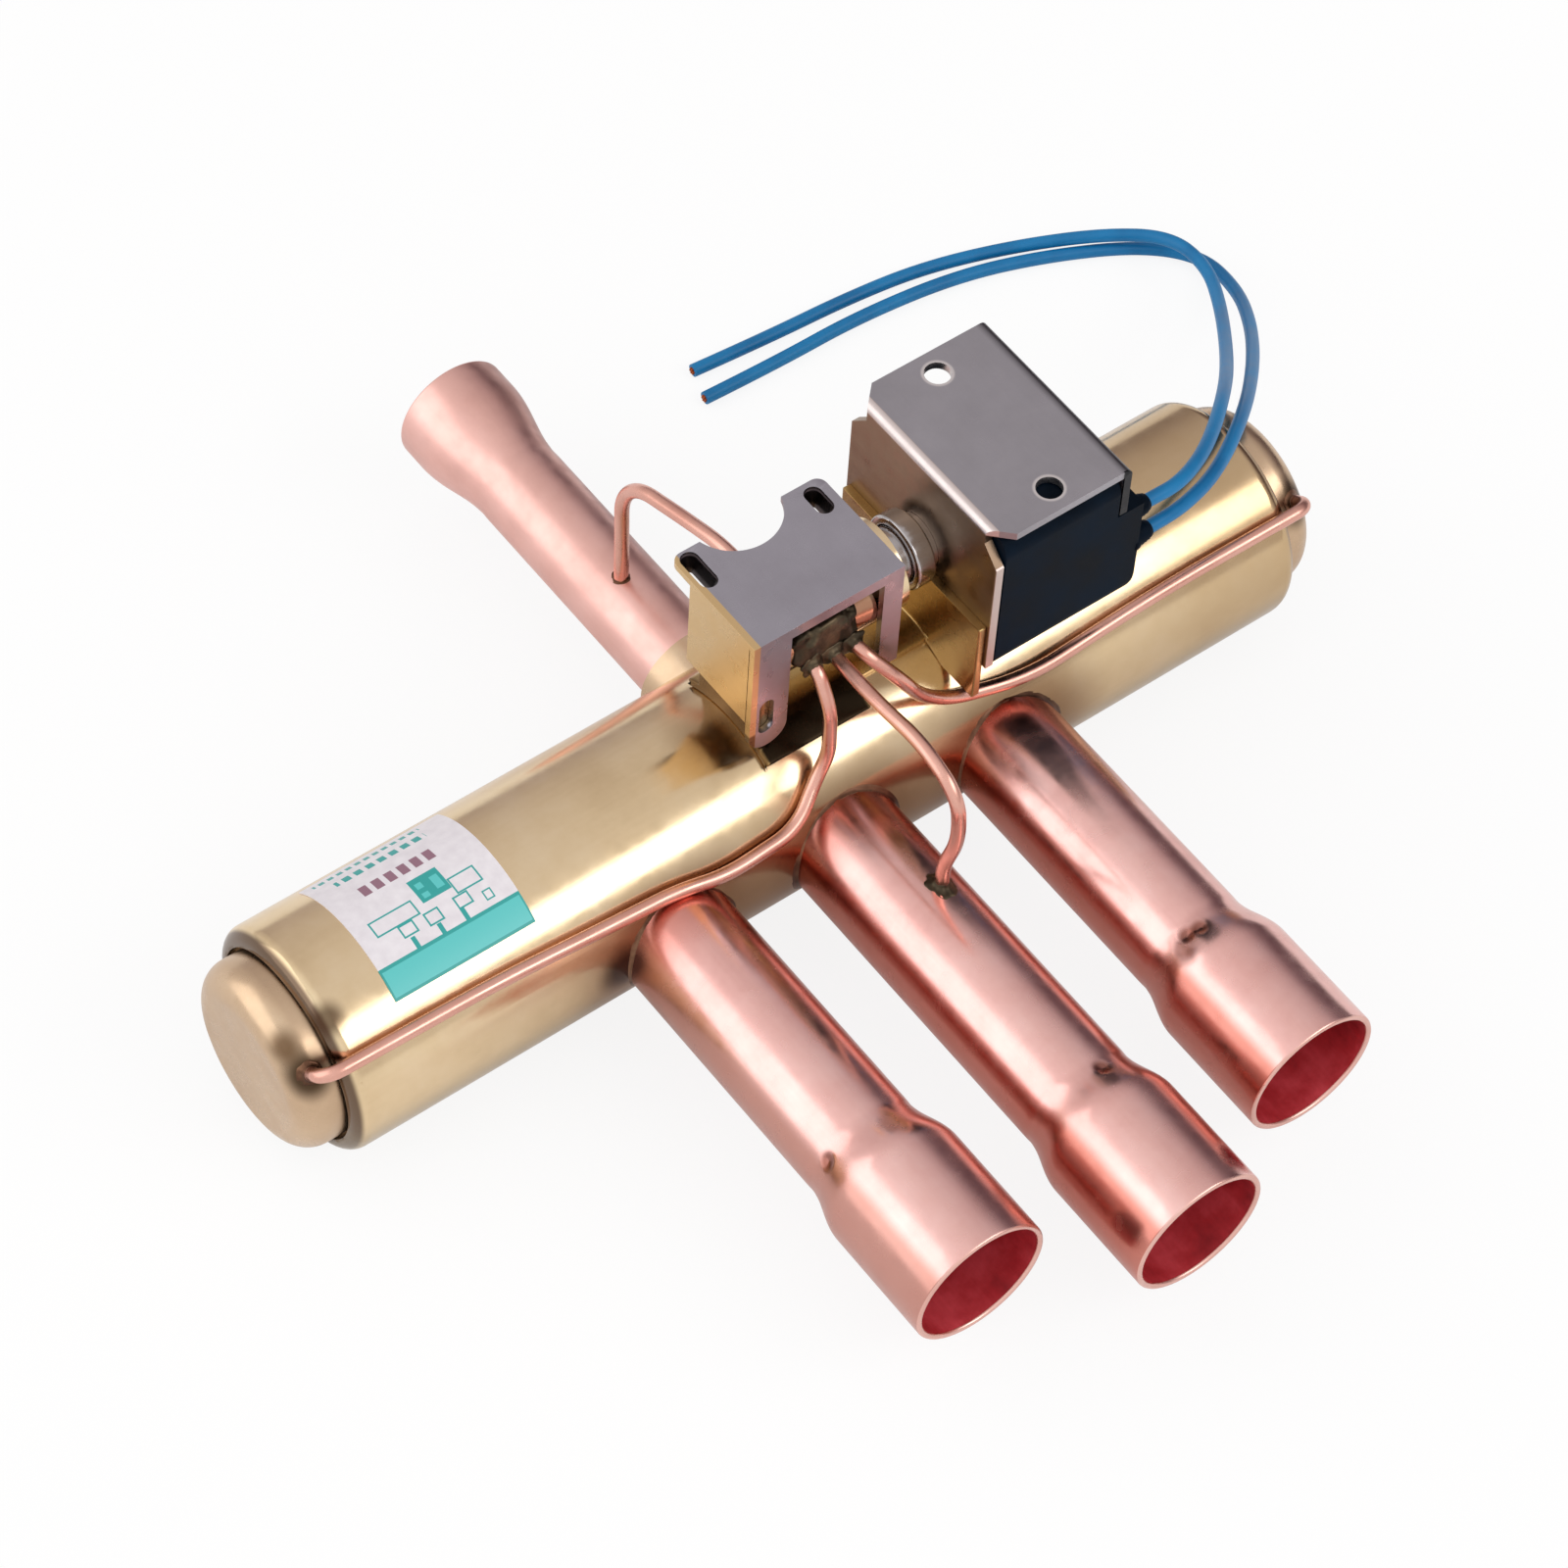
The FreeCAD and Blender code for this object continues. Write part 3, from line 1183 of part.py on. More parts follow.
def check_and_write():
    doc.recompute()
    for piece in doc.Objects:
        if "Invalid" in piece.State or "Error" in piece.State:
            raise RuntimeError(piece.Label + " failed: " + ", ".join(piece.State))
    for feature, before in cuts:
        removed = before.Shape.Volume - feature.Shape.Volume
        if removed < 1e-3:
            raise RuntimeError(feature.Label + " removes nothing")
    os.makedirs("parts", exist_ok=True)
    for piece in nodes:
        if piece.Shape.isNull() or not piece.Shape.isValid():
            raise RuntimeError(piece.Label + " has no valid shape")
        if len(piece.Shape.Solids) != 1:
            raise RuntimeError(piece.Label + " is %d solids" % len(piece.Shape.Solids))
    for piece in nodes:
        piece.Shape.exportStep("parts/%s.step" % piece.Label)
    print(len(nodes), "sub-parts written")


build_all()
check_and_write()
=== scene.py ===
# %% Load the frame
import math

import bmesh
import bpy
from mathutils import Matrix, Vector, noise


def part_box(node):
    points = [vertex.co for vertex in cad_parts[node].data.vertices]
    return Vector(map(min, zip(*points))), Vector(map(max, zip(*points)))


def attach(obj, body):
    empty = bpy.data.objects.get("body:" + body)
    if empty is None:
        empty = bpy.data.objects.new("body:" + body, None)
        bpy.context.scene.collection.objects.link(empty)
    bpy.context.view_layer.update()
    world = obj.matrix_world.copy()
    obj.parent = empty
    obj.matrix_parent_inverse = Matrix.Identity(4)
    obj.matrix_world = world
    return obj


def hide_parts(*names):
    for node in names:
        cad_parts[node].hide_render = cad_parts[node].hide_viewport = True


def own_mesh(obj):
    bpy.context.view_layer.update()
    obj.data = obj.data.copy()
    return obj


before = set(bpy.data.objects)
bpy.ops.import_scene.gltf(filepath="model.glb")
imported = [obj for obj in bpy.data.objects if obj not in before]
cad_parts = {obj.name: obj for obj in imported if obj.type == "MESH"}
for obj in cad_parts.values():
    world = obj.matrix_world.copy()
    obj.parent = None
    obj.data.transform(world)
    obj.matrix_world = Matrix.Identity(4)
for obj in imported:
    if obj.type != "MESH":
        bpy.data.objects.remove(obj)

# %% [markdown]
# # A reversing valve in brass and copper
# The frame holds the rigid solids of the valve, in metres: X runs along the brass body, three
# tubes leave towards -Y, and the floor is at Z = 0. This lesson gives every solid its real
# finish and adds what a plain solid can't show, such as braze, soft leads and worn metal.

MM = 0.001
TURN = 2 * math.pi
FIXED = "valve_body"


def in_mm(*numbers):
    return Vector(numbers) * MM


def box_mm(name):
    """Low and high corner of a node's box, in millimetres."""
    return [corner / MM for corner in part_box(name)]


def new_object(name, data):
    """An object with this data, linked to the scene."""
    made = bpy.data.objects.new(name, data)
    bpy.context.scene.collection.objects.link(made)
    return made


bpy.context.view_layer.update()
body_low, body_high = box_mm("main_body")
AXIS_Y_MM = (body_low.y + body_high.y) / 2
AXIS_Z_MM = (body_low.z + body_high.z) / 2
BODY_RADIUS_MM = (body_high.z - body_low.z) / 2
print("body axis at y %.1f, z %.1f, radius %.1f mm" % (AXIS_Y_MM, AXIS_Z_MM, BODY_RADIUS_MM))

# %% [markdown]
# ## The camera
# The photograph looks down on the valve from the front left with a long lens, so its parallel
# edges hardly converge. An orthographic camera would lose the little that they do, so this is a
# far camera with a 128 mm lens, turned by its own three axes.

# %% Camera at the photograph's view
CAMERA_PLACE = in_mm(-347.49, -404.70, 750.09)
CAMERA_AHEAD = Vector((0.3824, 0.4519, -0.8060))
CAMERA_UP = Vector((0.4637, 0.6607, 0.5904))
LENS_MM = 127.83
SENSOR_MM = 36
NEAR_M, FAR_M = 0.05, 20

camera_data = bpy.data.cameras.new("camera")
camera_data.lens = LENS_MM
camera_data.sensor_width = SENSOR_MM
camera_data.clip_start = NEAR_M
camera_data.clip_end = FAR_M
camera = new_object("camera", camera_data)
right = CAMERA_AHEAD.cross(CAMERA_UP).normalized()
up = right.cross(CAMERA_AHEAD).normalized()
turned = camera.matrix_world.to_3x3()
for row in range(3):
    turned[row] = (right[row], up[row], -CAMERA_AHEAD.normalized()[row])
camera.matrix_world = turned.to_4x4()
camera.location = CAMERA_PLACE
bpy.context.scene.camera = camera
print("camera %.3f m from the origin" % camera.location.length)

# %% [markdown]
# ## The leads
# Two PVC insulated leads leave the coil, fall over the right end of the body and lie on the
# bench in a wide bow. A simulated rope would settle somewhere else each time it was tuned. A
# NURBS curve led by a few points bends as a lead does, because its curvature changes
# slowly, and it stays put. The order is set after the points are added. A curve's box counts
# each point's radius, so that radius is a millimetre and the bevel is in millimetres.

# %% Leads as smooth curves
LEAD_RADIUS = 1.2
OUTER_LEAD = [(56.4, -7.5, 54.6), (61.5, -7.5, 54.6), (69.5, -6.7, 53.4), (80.4, -2.7, 50.8),
              (96.6, 8.6, 44.4), (115.9, 26.6, 26.4), (130.0, 42.0, 12.4), (138.0, 54.0, 4.8),
              (140.2, 65.8, 1.4), (132.6, 74.4, 1.2), (117.4, 82.1, 1.2), (101.0, 87.6, 1.2),
              (80.4, 90.0, 1.2), (61.6, 89.8, 1.2), (46.8, 90.4, 1.2)]
INNER_LEAD = [(56.4, -6.2, 60.0), (61.5, -6.2, 60.0), (69.0, -5.9, 59.1), (80.0, -0.1, 55.2),
              (94.8, 12.2, 47.4), (113.3, 30.7, 26.4), (127.6, 47.6, 13.4), (134.8, 59.2, 8.4),
              (135.4, 69.8, 6.2), (127.2, 78.6, 4.0), (113.3, 87.2, 1.6), (97.2, 92.6, 1.2),
              (81.4, 94.6, 1.2), (64.0, 95.4, 1.2), (48.8, 96.7, 1.2)]


def lay_lead(node, points):
    """A round lead whose smooth line is led by the points, in place of the CAD node."""
    name = node + "_pvc"
    curve = bpy.data.curves.new(name, "CURVE")
    curve.dimensions = "3D"
    curve.bevel_depth = LEAD_RADIUS
    curve.bevel_resolution = 8
    curve.resolution_u = 16
    curve.use_fill_caps = True
    spline = curve.splines.new("NURBS")
    spline.points.add(len(points) - 1)
    for slot, point in zip(spline.points, points):
        slot.co = (*in_mm(*point), 1)
        slot.radius = MM
    spline.order_u = 3
    spline.use_endpoint_u = True
    lead = new_object(name, curve)
    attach(lead, FIXED)
    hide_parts(node)
    print(name, "laid through", len(points), "points")
    return lead


lead_outer = lay_lead("lead_outer", OUTER_LEAD)
lead_inner = lay_lead("lead_inner", INNER_LEAD)

# %% [markdown]
# ## Studio
# The valve stands on a white bench under two soft boxes in a soft room. A metal shows its
# surroundings, so the room is not one flat white: it is pale on the left and overhead and has
# one dusky violet side on the right, which gives the tubes their light and dark bands. Modelled
# walls could do this too, but a ramp over the direction is quicker and has no corners.


# %% Nodes in one small function
def linear(hex_colour):
    """Linear colour of an sRGB hex value such as "C8A15A"."""
    channels = [int(hex_colour[i:i + 2], 16) / 255 for i in (0, 2, 4)]
    return [c / 12.92 if c <= 0.04045 else ((c + 0.055) / 1.055) ** 2.4 for c in channels] + [1]


def add_node(tree, kind, values=None, stops=None, **settings):
    """Add a node with its own settings, its inputs set or linked, and a ramp's stops."""
    node = tree.nodes.new(kind)
    for name, setting in settings.items():
        setattr(node, name, setting)
    for name, value in (values or {}).items():
        if isinstance(value, bpy.types.Node):
            value = value.outputs[0]
        if isinstance(value, bpy.types.NodeSocket):
            tree.links.new(value, node.inputs[name])
        else:
            node.inputs[name].default_value = value
    if stops:
        steps = node.color_ramp.elements
        while len(steps) < len(stops):
            steps.new(0.5)
        for step, (place, shade) in zip(steps, stops):
            step.position = place
            step.color = linear(shade)
    return node


print("the sRGB grey 808080 is %.3f in linear light" % linear("808080")[0])

# %% Soft room
BRIGHT_SIDE = (-0.90, -0.25, 0.36)
ROOM_SHADES = [(0.0, "54484E"), (0.13, "6A5C62"), (0.19, "948A8E"), (0.25, "BAB2B4"),
               (0.34, "D0CACA"), (0.46, "DCD7D6"), (0.62, "ECE8E6"), (0.82, "FFFFFF")]
ROOM_STRENGTH = 1.05


def seen_by_camera(tree):
    """1 for a ray that the camera sends, also through clear matter, and 0 for any other."""
    path = add_node(tree, "ShaderNodeLightPath")
    return add_node(tree, "ShaderNodeMath", {0: path.outputs["Is Camera Ray"],
                                             1: path.outputs["Is Transmission Ray"]},
                    operation="MAXIMUM")


bpy.context.scene.view_settings.view_transform = "Standard"
world = bpy.data.worlds.new("soft_room")
bpy.context.scene.world = world
world.use_nodes = True
room = world.node_tree
room.nodes.clear()
direction = add_node(room, "ShaderNodeTexCoord")
toward = add_node(room, "ShaderNodeVectorMath",
                  {0: direction.outputs["Generated"], 1: BRIGHT_SIDE}, operation="DOT_PRODUCT")
level = add_node(room, "ShaderNodeMapRange", {"Value": toward.outputs["Value"],
                                              "From Min": -1.0, "From Max": 1.0})
shade = add_node(room, "ShaderNodeValToRGB", {"Fac": level}, stops=ROOM_SHADES)
glow = add_node(room, "ShaderNodeBackground", {"Color": shade, "Strength": ROOM_STRENGTH})
plain = add_node(room, "ShaderNodeBackground", {"Color": linear("FCFCFC"), "Strength": 1.0})
backdrop = add_node(room, "ShaderNodeMixShader", {0: seen_by_camera(room), 1: glow, 2: plain})
add_node(room, "ShaderNodeOutputWorld", {"Surface": backdrop})
print("the room has", len(ROOM_SHADES), "shades, from dusk to white")

# %% Soft boxes
AIM = (0, 0, 0.03)


def soft_box(name, place, width, height, watts):
    """A rectangular lamp that looks at the valve; all lengths are in metres."""
    data = bpy.data.lights.new(name, "AREA")
    data.shape = "RECTANGLE"
    data.size = width
    data.size_y = height
    data.energy = watts
    lamp = new_object(name, data)
    lamp.location = place
    lamp.rotation_euler = (Vector(AIM) - Vector(place)).to_track_quat("-Z", "Y").to_euler()
    print(name, "is %.2f m from the valve" % (Vector(AIM) - Vector(place)).length)


soft_box("key_box", place=(-0.85, 0.50, 0.50), width=1.2, height=1.0, watts=3)
soft_box("front_box", place=(0.46, -0.78, 0.80), width=0.9, height=0.46, watts=3.5)

# %% White bench
BENCH_HALF = 3.0
BENCH_DROP = 0.2 * MM
# The camera sees mostly plain white, the metals see a little of it, and the rest is matt paint
# that keeps the valve's shadow.
SHARE_SEEN = 0.86
SHARE_MIRRORED = 0.2

bench_mesh = bpy.data.meshes.new("bench")
corners = [(-1, -1), (1, -1), (1, 1), (-1, 1)]
bench_mesh.from_pydata([(x * BENCH_HALF, y * BENCH_HALF, 0) for x, y in corners], [],
                       [(0, 1, 2, 3)])
bench = new_object("bench", bench_mesh)
bench.location.z = -BENCH_DROP

paint = bpy.data.materials.new("white_bench_paint")
paint.use_nodes = True
tree = paint.node_tree
tree.nodes.clear()
matt = add_node(tree, "ShaderNodeBsdfDiffuse", {"Color": linear("F4F4F4")})
white = add_node(tree, "ShaderNodeEmission", {"Color": linear("FFFFFF"), "Strength": 1.0})
path = add_node(tree, "ShaderNodeLightPath")
seen = add_node(tree, "ShaderNodeMath", {0: seen_by_camera(tree), 1: SHARE_SEEN},
                operation="MULTIPLY")
mirrored = add_node(tree, "ShaderNodeMath",
                    {0: path.outputs["Is Glossy Ray"], 1: SHARE_MIRRORED}, operation="MULTIPLY")
share = add_node(tree, "ShaderNodeMath", {0: seen, 1: mirrored}, operation="MAXIMUM")
both = add_node(tree, "ShaderNodeMixShader", {0: share, 1: matt, 2: white})
add_node(tree, "ShaderNodeOutputMaterial", {"Surface": both})
bench_mesh.materials.append(paint)
print("the bench is", 2 * BENCH_HALF, "m wide")

# %% [markdown]
# ## Metals
# Every metal here is a Principled shader with the default IOR, at full metallic but for the
# tubes' bores, whose dull deep red is painted reflection. What tells one from the other is its
# colour, how tight its highlight is, the direction of its draw lines and its stains. Photographs
# of metal would need unwrapping and would repeat, so the patterns are noise in object
# coordinates, sized in millimetres.


# %% A metal with draw lines and stains
# Real draw lines are finer than 0.1 mm. They are drawn as coarse as grain_mm so that they show.
LINE_SHARE = 0.12
LINE_STRETCH = 0.03
CLOUD_MM = 14
SPOT_MM = 3


def start_material(name):
    material = bpy.data.materials.new(name)
    material.use_nodes = True
    material.node_tree.nodes.clear()
    return material, material.node_tree


def end_material(tree, shader, height, strength, depth_mm):
    """Close a material with a bump whose real depth is given in millimetres."""
    bump = add_node(tree, "ShaderNodeBump", {"Strength": strength, "Distance": depth_mm * MM,
                                             "Height": height})
    tree.links.new(bump.outputs[0], shader.inputs["Normal"])
    add_node(tree, "ShaderNodeOutputMaterial", {"Surface": shader})


def metal(name, colours, rough, grain_mm, along="", stain=0.5, dents_mm=0.006, tint=None,
          metallic=1.0):
    """Drawn or rolled metal: colours run from its darkest stain to its cleanest spot."""
    material, tree = start_material(name)
    place = add_node(tree, "ShaderNodeTexCoord").outputs["Object"]
    stretch = [LINE_STRETCH if axis == along else 1 for axis in "XYZ"]
    lines_at = add_node(tree, "ShaderNodeVectorMath", {0: place, 1: stretch},
                        operation="MULTIPLY")
    lines = add_node(tree, "ShaderNodeTexNoise",
                     {"Vector": lines_at, "Scale": 1 / (grain_mm * MM), "Detail": 3.0})
    clouds = add_node(tree, "ShaderNodeTexNoise",
                      {"Vector": place, "Scale": 1 / (CLOUD_MM * MM), "Detail": 5.0,
                       "Roughness": 0.6})
    spots = add_node(tree, "ShaderNodeTexNoise",
                     {"Vector": place, "Scale": 1 / (SPOT_MM * MM), "Detail": 2.0})
    faint = add_node(tree, "ShaderNodeMath", {0: lines, 1: LINE_SHARE, 2: clouds},
                     operation="MULTIPLY_ADD")
    middle = 0.5 + 0.5 * LINE_SHARE
    wide = add_node(tree, "ShaderNodeMapRange", {"Value": faint, "From Min": middle - 0.2 / stain,
                                                 "From Max": middle + 0.2 / stain})
    colour = add_node(tree, "ShaderNodeValToRGB", {"Fac": wide},
                      stops=list(zip((0, 0.5, 1), colours)))
    if tint:
        colour = tint(tree, place, colour)
    gloss = add_node(tree, "ShaderNodeMapRange",
                     {"Value": spots, "From Min": 0.3, "From Max": 0.7,
                      "To Min": rough * 0.8, "To Max": rough * 1.2})
    shader = add_node(tree, "ShaderNodeBsdfPrincipled",
                      {"Base Color": colour, "Metallic": metallic, "Roughness": gloss})
    end_material(tree, shader, faint, 0.3, dents_mm)
    print(name, "has clouds of", CLOUD_MM, "mm and grain of", grain_mm, "mm")
    return material


# %% [markdown]
# ## Heat, wear and painted light
# Brazing leaves marks that follow the work: a bloom round each tube and a burnt spot where filler
# sat. Other marks are painted light: painted shade under the pilot valve and in grooves, folds,
# dimples and undersides, painted highlights on folds and rims, and painted reflections, also in
# the blooms. Such marks could be painted by hand on an unwrapped mesh. Here each is a soft mask
# in space, near a point, near an axis or past a plane, that mixes in a tint.

# %% Masks in space
def near(tree, place, centre, start_mm, end_mm, along=""):
    """1 up to start from a point, or from a line along an axis, falling to 0 at end."""
    keep = [0 if axis == along else 1 for axis in "XYZ"]
    away = add_node(tree, "ShaderNodeVectorMath", {0: place, 1: tuple(in_mm(*centre))},
                    operation="SUBTRACT")
    across = add_node(tree, "ShaderNodeVectorMath", {0: away, 1: keep}, operation="MULTIPLY")
    length = add_node(tree, "ShaderNodeVectorMath", {0: across}, operation="LENGTH")
    return add_node(tree, "ShaderNodeMapRange",
                    {"Value": length.outputs["Value"], "From Min": end_mm * MM,
                     "From Max": start_mm * MM}, interpolation_type="SMOOTHSTEP")


def beyond(tree, place, axis, start_mm, end_mm):
    """0 up to start along an axis, rising to 1 at end; start may be the larger number."""
    parts = add_node(tree, "ShaderNodeSeparateXYZ", {0: place})
    return add_node(tree, "ShaderNodeMapRange",
                    {"Value": parts.outputs[axis], "From Min": start_mm * MM,
                     "From Max": end_mm * MM}, interpolation_type="SMOOTHSTEP")


def tinted(tree, colour, masks, hex_colour, strength):
    """Mix a tint into a colour where every one of the masks is 1."""
    share = strength
    for mask in masks:
        share = add_node(tree, "ShaderNodeMath", {0: mask, 1: share}, operation="MULTIPLY")
    return add_node(tree, "ShaderNodeMix", {0: share, 6: colour, 7: linear(hex_colour)},
                    data_type="RGBA").outputs[2]


print("a mask near a point, near an axis or past a plane places each tint")

# %% Scorched brass, with painted shade and reflection
PORTS = (-33.2, 0.0, 33.2)
ROLLED_FROM, ROLLED_TO = 93.6, 94.5
# Each spot is its place, the radii where it starts to fade and ends, its colour and strength.
SCORCHES_AND_PAINTED_REFLECTION = [((-44.0, -10.3, 21.5), 2.0, 6.5, "3E2C26", 0.92),
            # painted reflection, not a scorch: a dark spot on the body's top beside the bracket
            ((-15.0, 8.0, 40.0), 0.0, 9.5, "7C5834", 0.7),
            ((8.0, 0.5, 58.0), 5.0, 9.0, "8E5240", 0.75),
            ((-93.5, -0.5, 37.0), 1.0, 4.0, "4A3020", 0.8),
            ((-99.6, -4.4, 31.0), 2.4, 6.2, "3A2818", 0.92),
            ((-101.0, 0.8, 34.0), 1.0, 4.4, "5A3C20", 0.8),
            ((99.6, -4.4, 31.0), 2.4, 6.2, "3A2818", 0.92)]


def scorches_and_painted_reflection(tree, place, colour):
    """Dark spots where filler and flame have been, and one painted reflection on the body's top.
    """
    for point, start_mm, end_mm, hex_colour, strength in SCORCHES_AND_PAINTED_REFLECTION:
        spot = near(tree, place, point, start_mm, end_mm)
        colour = tinted(tree, colour, [spot], hex_colour, strength)
    return colour


def brass_heat_and_painted_shade(tree, place, colour):
    """Painted shade on lips, right end and underside; each tube's bloom is heat and painted
    reflection.
    """
    # painted shade in the groove at each rolled lip
    for side in (-1, 1):
        lip = beyond(tree, place, "X", side * ROLLED_FROM, side * ROLLED_TO)
        colour = tinted(tree, colour, [lip], "5A463C", 0.9)
    # painted shade: darker towards the right end
    colour = tinted(tree, colour, [beyond(tree, place, "X", 25, 95)], "A8865C", 0.5)
    # painted shade: darker underneath
    colour = tinted(tree, colour, [beyond(tree, place, "Z", 21, 13)], "7C6A4C", 0.45)
    # round each tube a brown bloom: heat tint and painted reflection of the copper
    for x in PORTS:
        bloom = [near(tree, place, (x, 0, AXIS_Z_MM), 10.5, 24, along="Y"),
                 beyond(tree, place, "Y", -4, -9)]
        colour = tinted(tree, colour, bloom, "6E4424", 0.75)
    return scorches_and_painted_reflection(tree, place, colour)


# one of these spots is a painted reflection
print(len(SCORCHES_AND_PAINTED_REFLECTION), "scorched spots on the brass")

# %% Plated steel with painted highlights, reflection and shade
yoke_low, yoke_high = box_mm("coil_yoke")
bracket_low, bracket_high = box_mm("pilot_bracket")
saddle_low = box_mm("saddle_bracket")[0]
YOKE_HOLES = ((40.45, -5.2, 0), (40.45, 23.4, 0))
HOLE_RIM = (2.5, 2.9)


def yoke_painted_light(tree, place, colour):
    """Painted bronze reflection on the left cheek, highlights on left fold, edge and holes, shade
    on right fold.
    """
    top = beyond(tree, place, "Z", yoke_high.z - 1.7, yoke_high.z - 1.2)
    cheek = beyond(tree, place, "X", yoke_low.x + 1.6, yoke_low.x + 1.4)
    right_fold = beyond(tree, place, "X", yoke_high.x - 2.6, yoke_high.x - 0.8)
    right_leg = beyond(tree, place, "X", yoke_high.x - 1.8, yoke_high.x - 1.7)
    sawn = beyond(tree, place, "Y", yoke_low.y + 0.3, yoke_low.y + 0.2)
    # painted reflection of the brass on the left cheek
    colour = tinted(tree, colour, [cheek], "8E7254", 0.85)
    # painted shade on the right fold
    colour = tinted(tree, colour, [right_fold, top], "2A2629", 0.75)
    # painted highlight on the left cheek's front edge
    colour = tinted(tree, colour, [cheek, sawn], "E2D2CC", 0.8)
    # the right leg's front edge is painted black like the coil case
    colour = tinted(tree, colour, [right_leg, sawn], "0A0C10", 0.95)
    # painted highlight round each hole
    for centre in YOKE_HOLES:
        rim = near(tree, place, centre, *HOLE_RIM, along="Z")
        colour = tinted(tree, colour, [rim], "E6E0DE", 0.75)
    # painted highlight along the left fold
    return tinted(tree, colour, [cheek, top], "D8CCCA", 0.9)


def bracket_gold_and_painted_shade(tree, place, colour):
    """Paints the bracket's left wall a light gold, with painted shade along the wall's foot."""
    wall = beyond(tree, place, "X", bracket_low.x + 1.3, bracket_low.x + 1.1)
    foot = beyond(tree, place, "Z", bracket_low.z + 4.7, bracket_low.z + 4.1)
    colour = tinted(tree, colour, [wall], "DEBC84", 0.9)
    # painted shade along the foot of the left wall
    return tinted(tree, colour, [wall, foot], "5E4428", 0.85)


def saddle_painted_shade(tree, place, colour):
    """Painted shade: a darker left wing, and near black on the front foot under the pilot valve.
    """
    foot = [beyond(tree, place, "X", saddle_low.x + 0.1, saddle_low.x + 0.8),
            beyond(tree, place, "X", 11.4, 10.0), beyond(tree, place, "Y", 6.5, 4.5),
            beyond(tree, place, "Z", 46.0, 44.0)]
    wing = beyond(tree, place, "X", saddle_low.x + 1.0, saddle_low.x)
    # painted shade on the left wing
    colour = tinted(tree, colour, [wing], "6A4C2C", 0.85)
    # painted shade, near black, under the pilot valve
    return tinted(tree, colour, foot, "17110F", 0.97)


print("yoke top at %.1f mm, bracket top at %.1f mm" % (yoke_high.z, bracket_high.z))

# %% Copper near the flame, with painted reflection and shade
# Each stop dimple is its tube's X, its distance from the body's axis and its angle round.
DIMPLES = [(-33.2, 69.2, 144.8), (0.0, 82.2, 79.4), (33.2, 70.6, 101.9), (33.2, 70.2, 114.6)]
# FLANK is the colour of the painted reflection down each tube's left flank; FLANK_FROM to
# FLANK_END place it.
FLANK = ("B47C6C", "B4563C", "B4563C")
FLANK_FROM, FLANK_TO, FLANK_END = 7.6, 9.4, 15


def copper_heat_and_painted_light(tree, place, colour):
    """Heat-reddened copper near the body, painted reflection on each left flank, painted shade in
    dimples.
    """
    close = near(tree, place, (0, AXIS_Y_MM, AXIS_Z_MM), 20, 34, along="X")
    colour = tinted(tree, colour, [close], "C0583C", 0.6)
    # painted reflection down each tube's left flank
    for x, hex_colour in zip(PORTS, FLANK):
        flank = [beyond(tree, place, "X", x - FLANK_FROM, x - FLANK_TO),
                 beyond(tree, place, "X", x - FLANK_END, x - FLANK_END + 1)]
        colour = tinted(tree, colour, flank, hex_colour, 0.7)
    # painted shade in each stop dimple
    for x, reach, angle in DIMPLES:
        turned = math.radians(angle)
        point = (x + 10 * math.cos(turned), AXIS_Y_MM - reach, AXIS_Z_MM + 10 * math.sin(turned))
        colour = tinted(tree, colour, [near(tree, place, point, 0.8, 2.2)], "7A3E2C", 0.8)
    return colour


def discharge_painted_shade(tree, place, colour):
    """The discharge tube is darker down its right flank: painted shade."""
    return tinted(tree, colour, [beyond(tree, place, "X", 2.5, 8.0)], "74443E", 0.55)


# the dimples' darker spots are painted shade
print(len(DIMPLES), "dimples are burnt a little darker")

# %% Brass of the body, the caps and the seat
# Drawn brass tube: polished by the die, so its highlight is a tight streak down the whole
# length, over pale gold with brown blooms of heat tint and painted reflection, and painted
# shade at its lips, its right end and underneath.
body_brass = metal("drawn_brass", ("D0B68E", "E2CAA4", "ECD8B8"), rough=0.18, grain_mm=0.8,
                   along="X", tint=brass_heat_and_painted_shade)
# Turned brass: satin and a shade browner, with tool marks too fine to see as lines.
cap_brass = metal("turned_brass", ("BC9E80", "CAAE90", "D6BC9E"), rough=0.3, grain_mm=0.5,
                  dents_mm=0.003, tint=scorches_and_painted_reflection)
# Milled brass: deeper yellow, because it was cut and never heated in air.
seat_brass = metal("machined_brass", ("A88648", "C9A869", "D8BC84"), rough=0.25, grain_mm=0.4,
                   along="Z")

# %% Copper of the tubes
# Hard drawn copper: bright salmon pink with long lines and red where it was heated.
tube_copper = metal("drawn_copper", ("DEA49C", "EDBCB5", "F6CEC8"), rough=0.24, grain_mm=0.8,
                    along="Y", dents_mm=0.003, tint=copper_heat_and_painted_light)
# Annealed copper: softer and duller after the furnace, so its highlight is broad.
annealed_copper = metal("annealed_copper", ("D2A096", "E6B6AC", "F2C6BE"), rough=0.36,
                        grain_mm=0.8, along="Y", dents_mm=0.003, tint=discharge_painted_shade)
# Capillary copper: thin bent tube, a little browner from handling.
capillary_copper = metal("capillary_copper", ("CC9080", "DEA898", "EABAAC"), rough=0.28,
                         grain_mm=0.5)
# Bore: painted a dull, deep red, a painted reflection of light bounced about inside the copper.
bore_copper = metal("annealed_copper_bore", ("8C1820", "B62A32", "D24650"), rough=0.55,
                    grain_mm=1.0, along="Y", stain=1.3, metallic=0.25)
# Sawn and deburred rim: bare metal, the palest pink of all.
rim_copper = metal("sawn_copper_rim", ("D8A496", "E4B6AA", "EEC6BC"), rough=0.3, grain_mm=0.4)
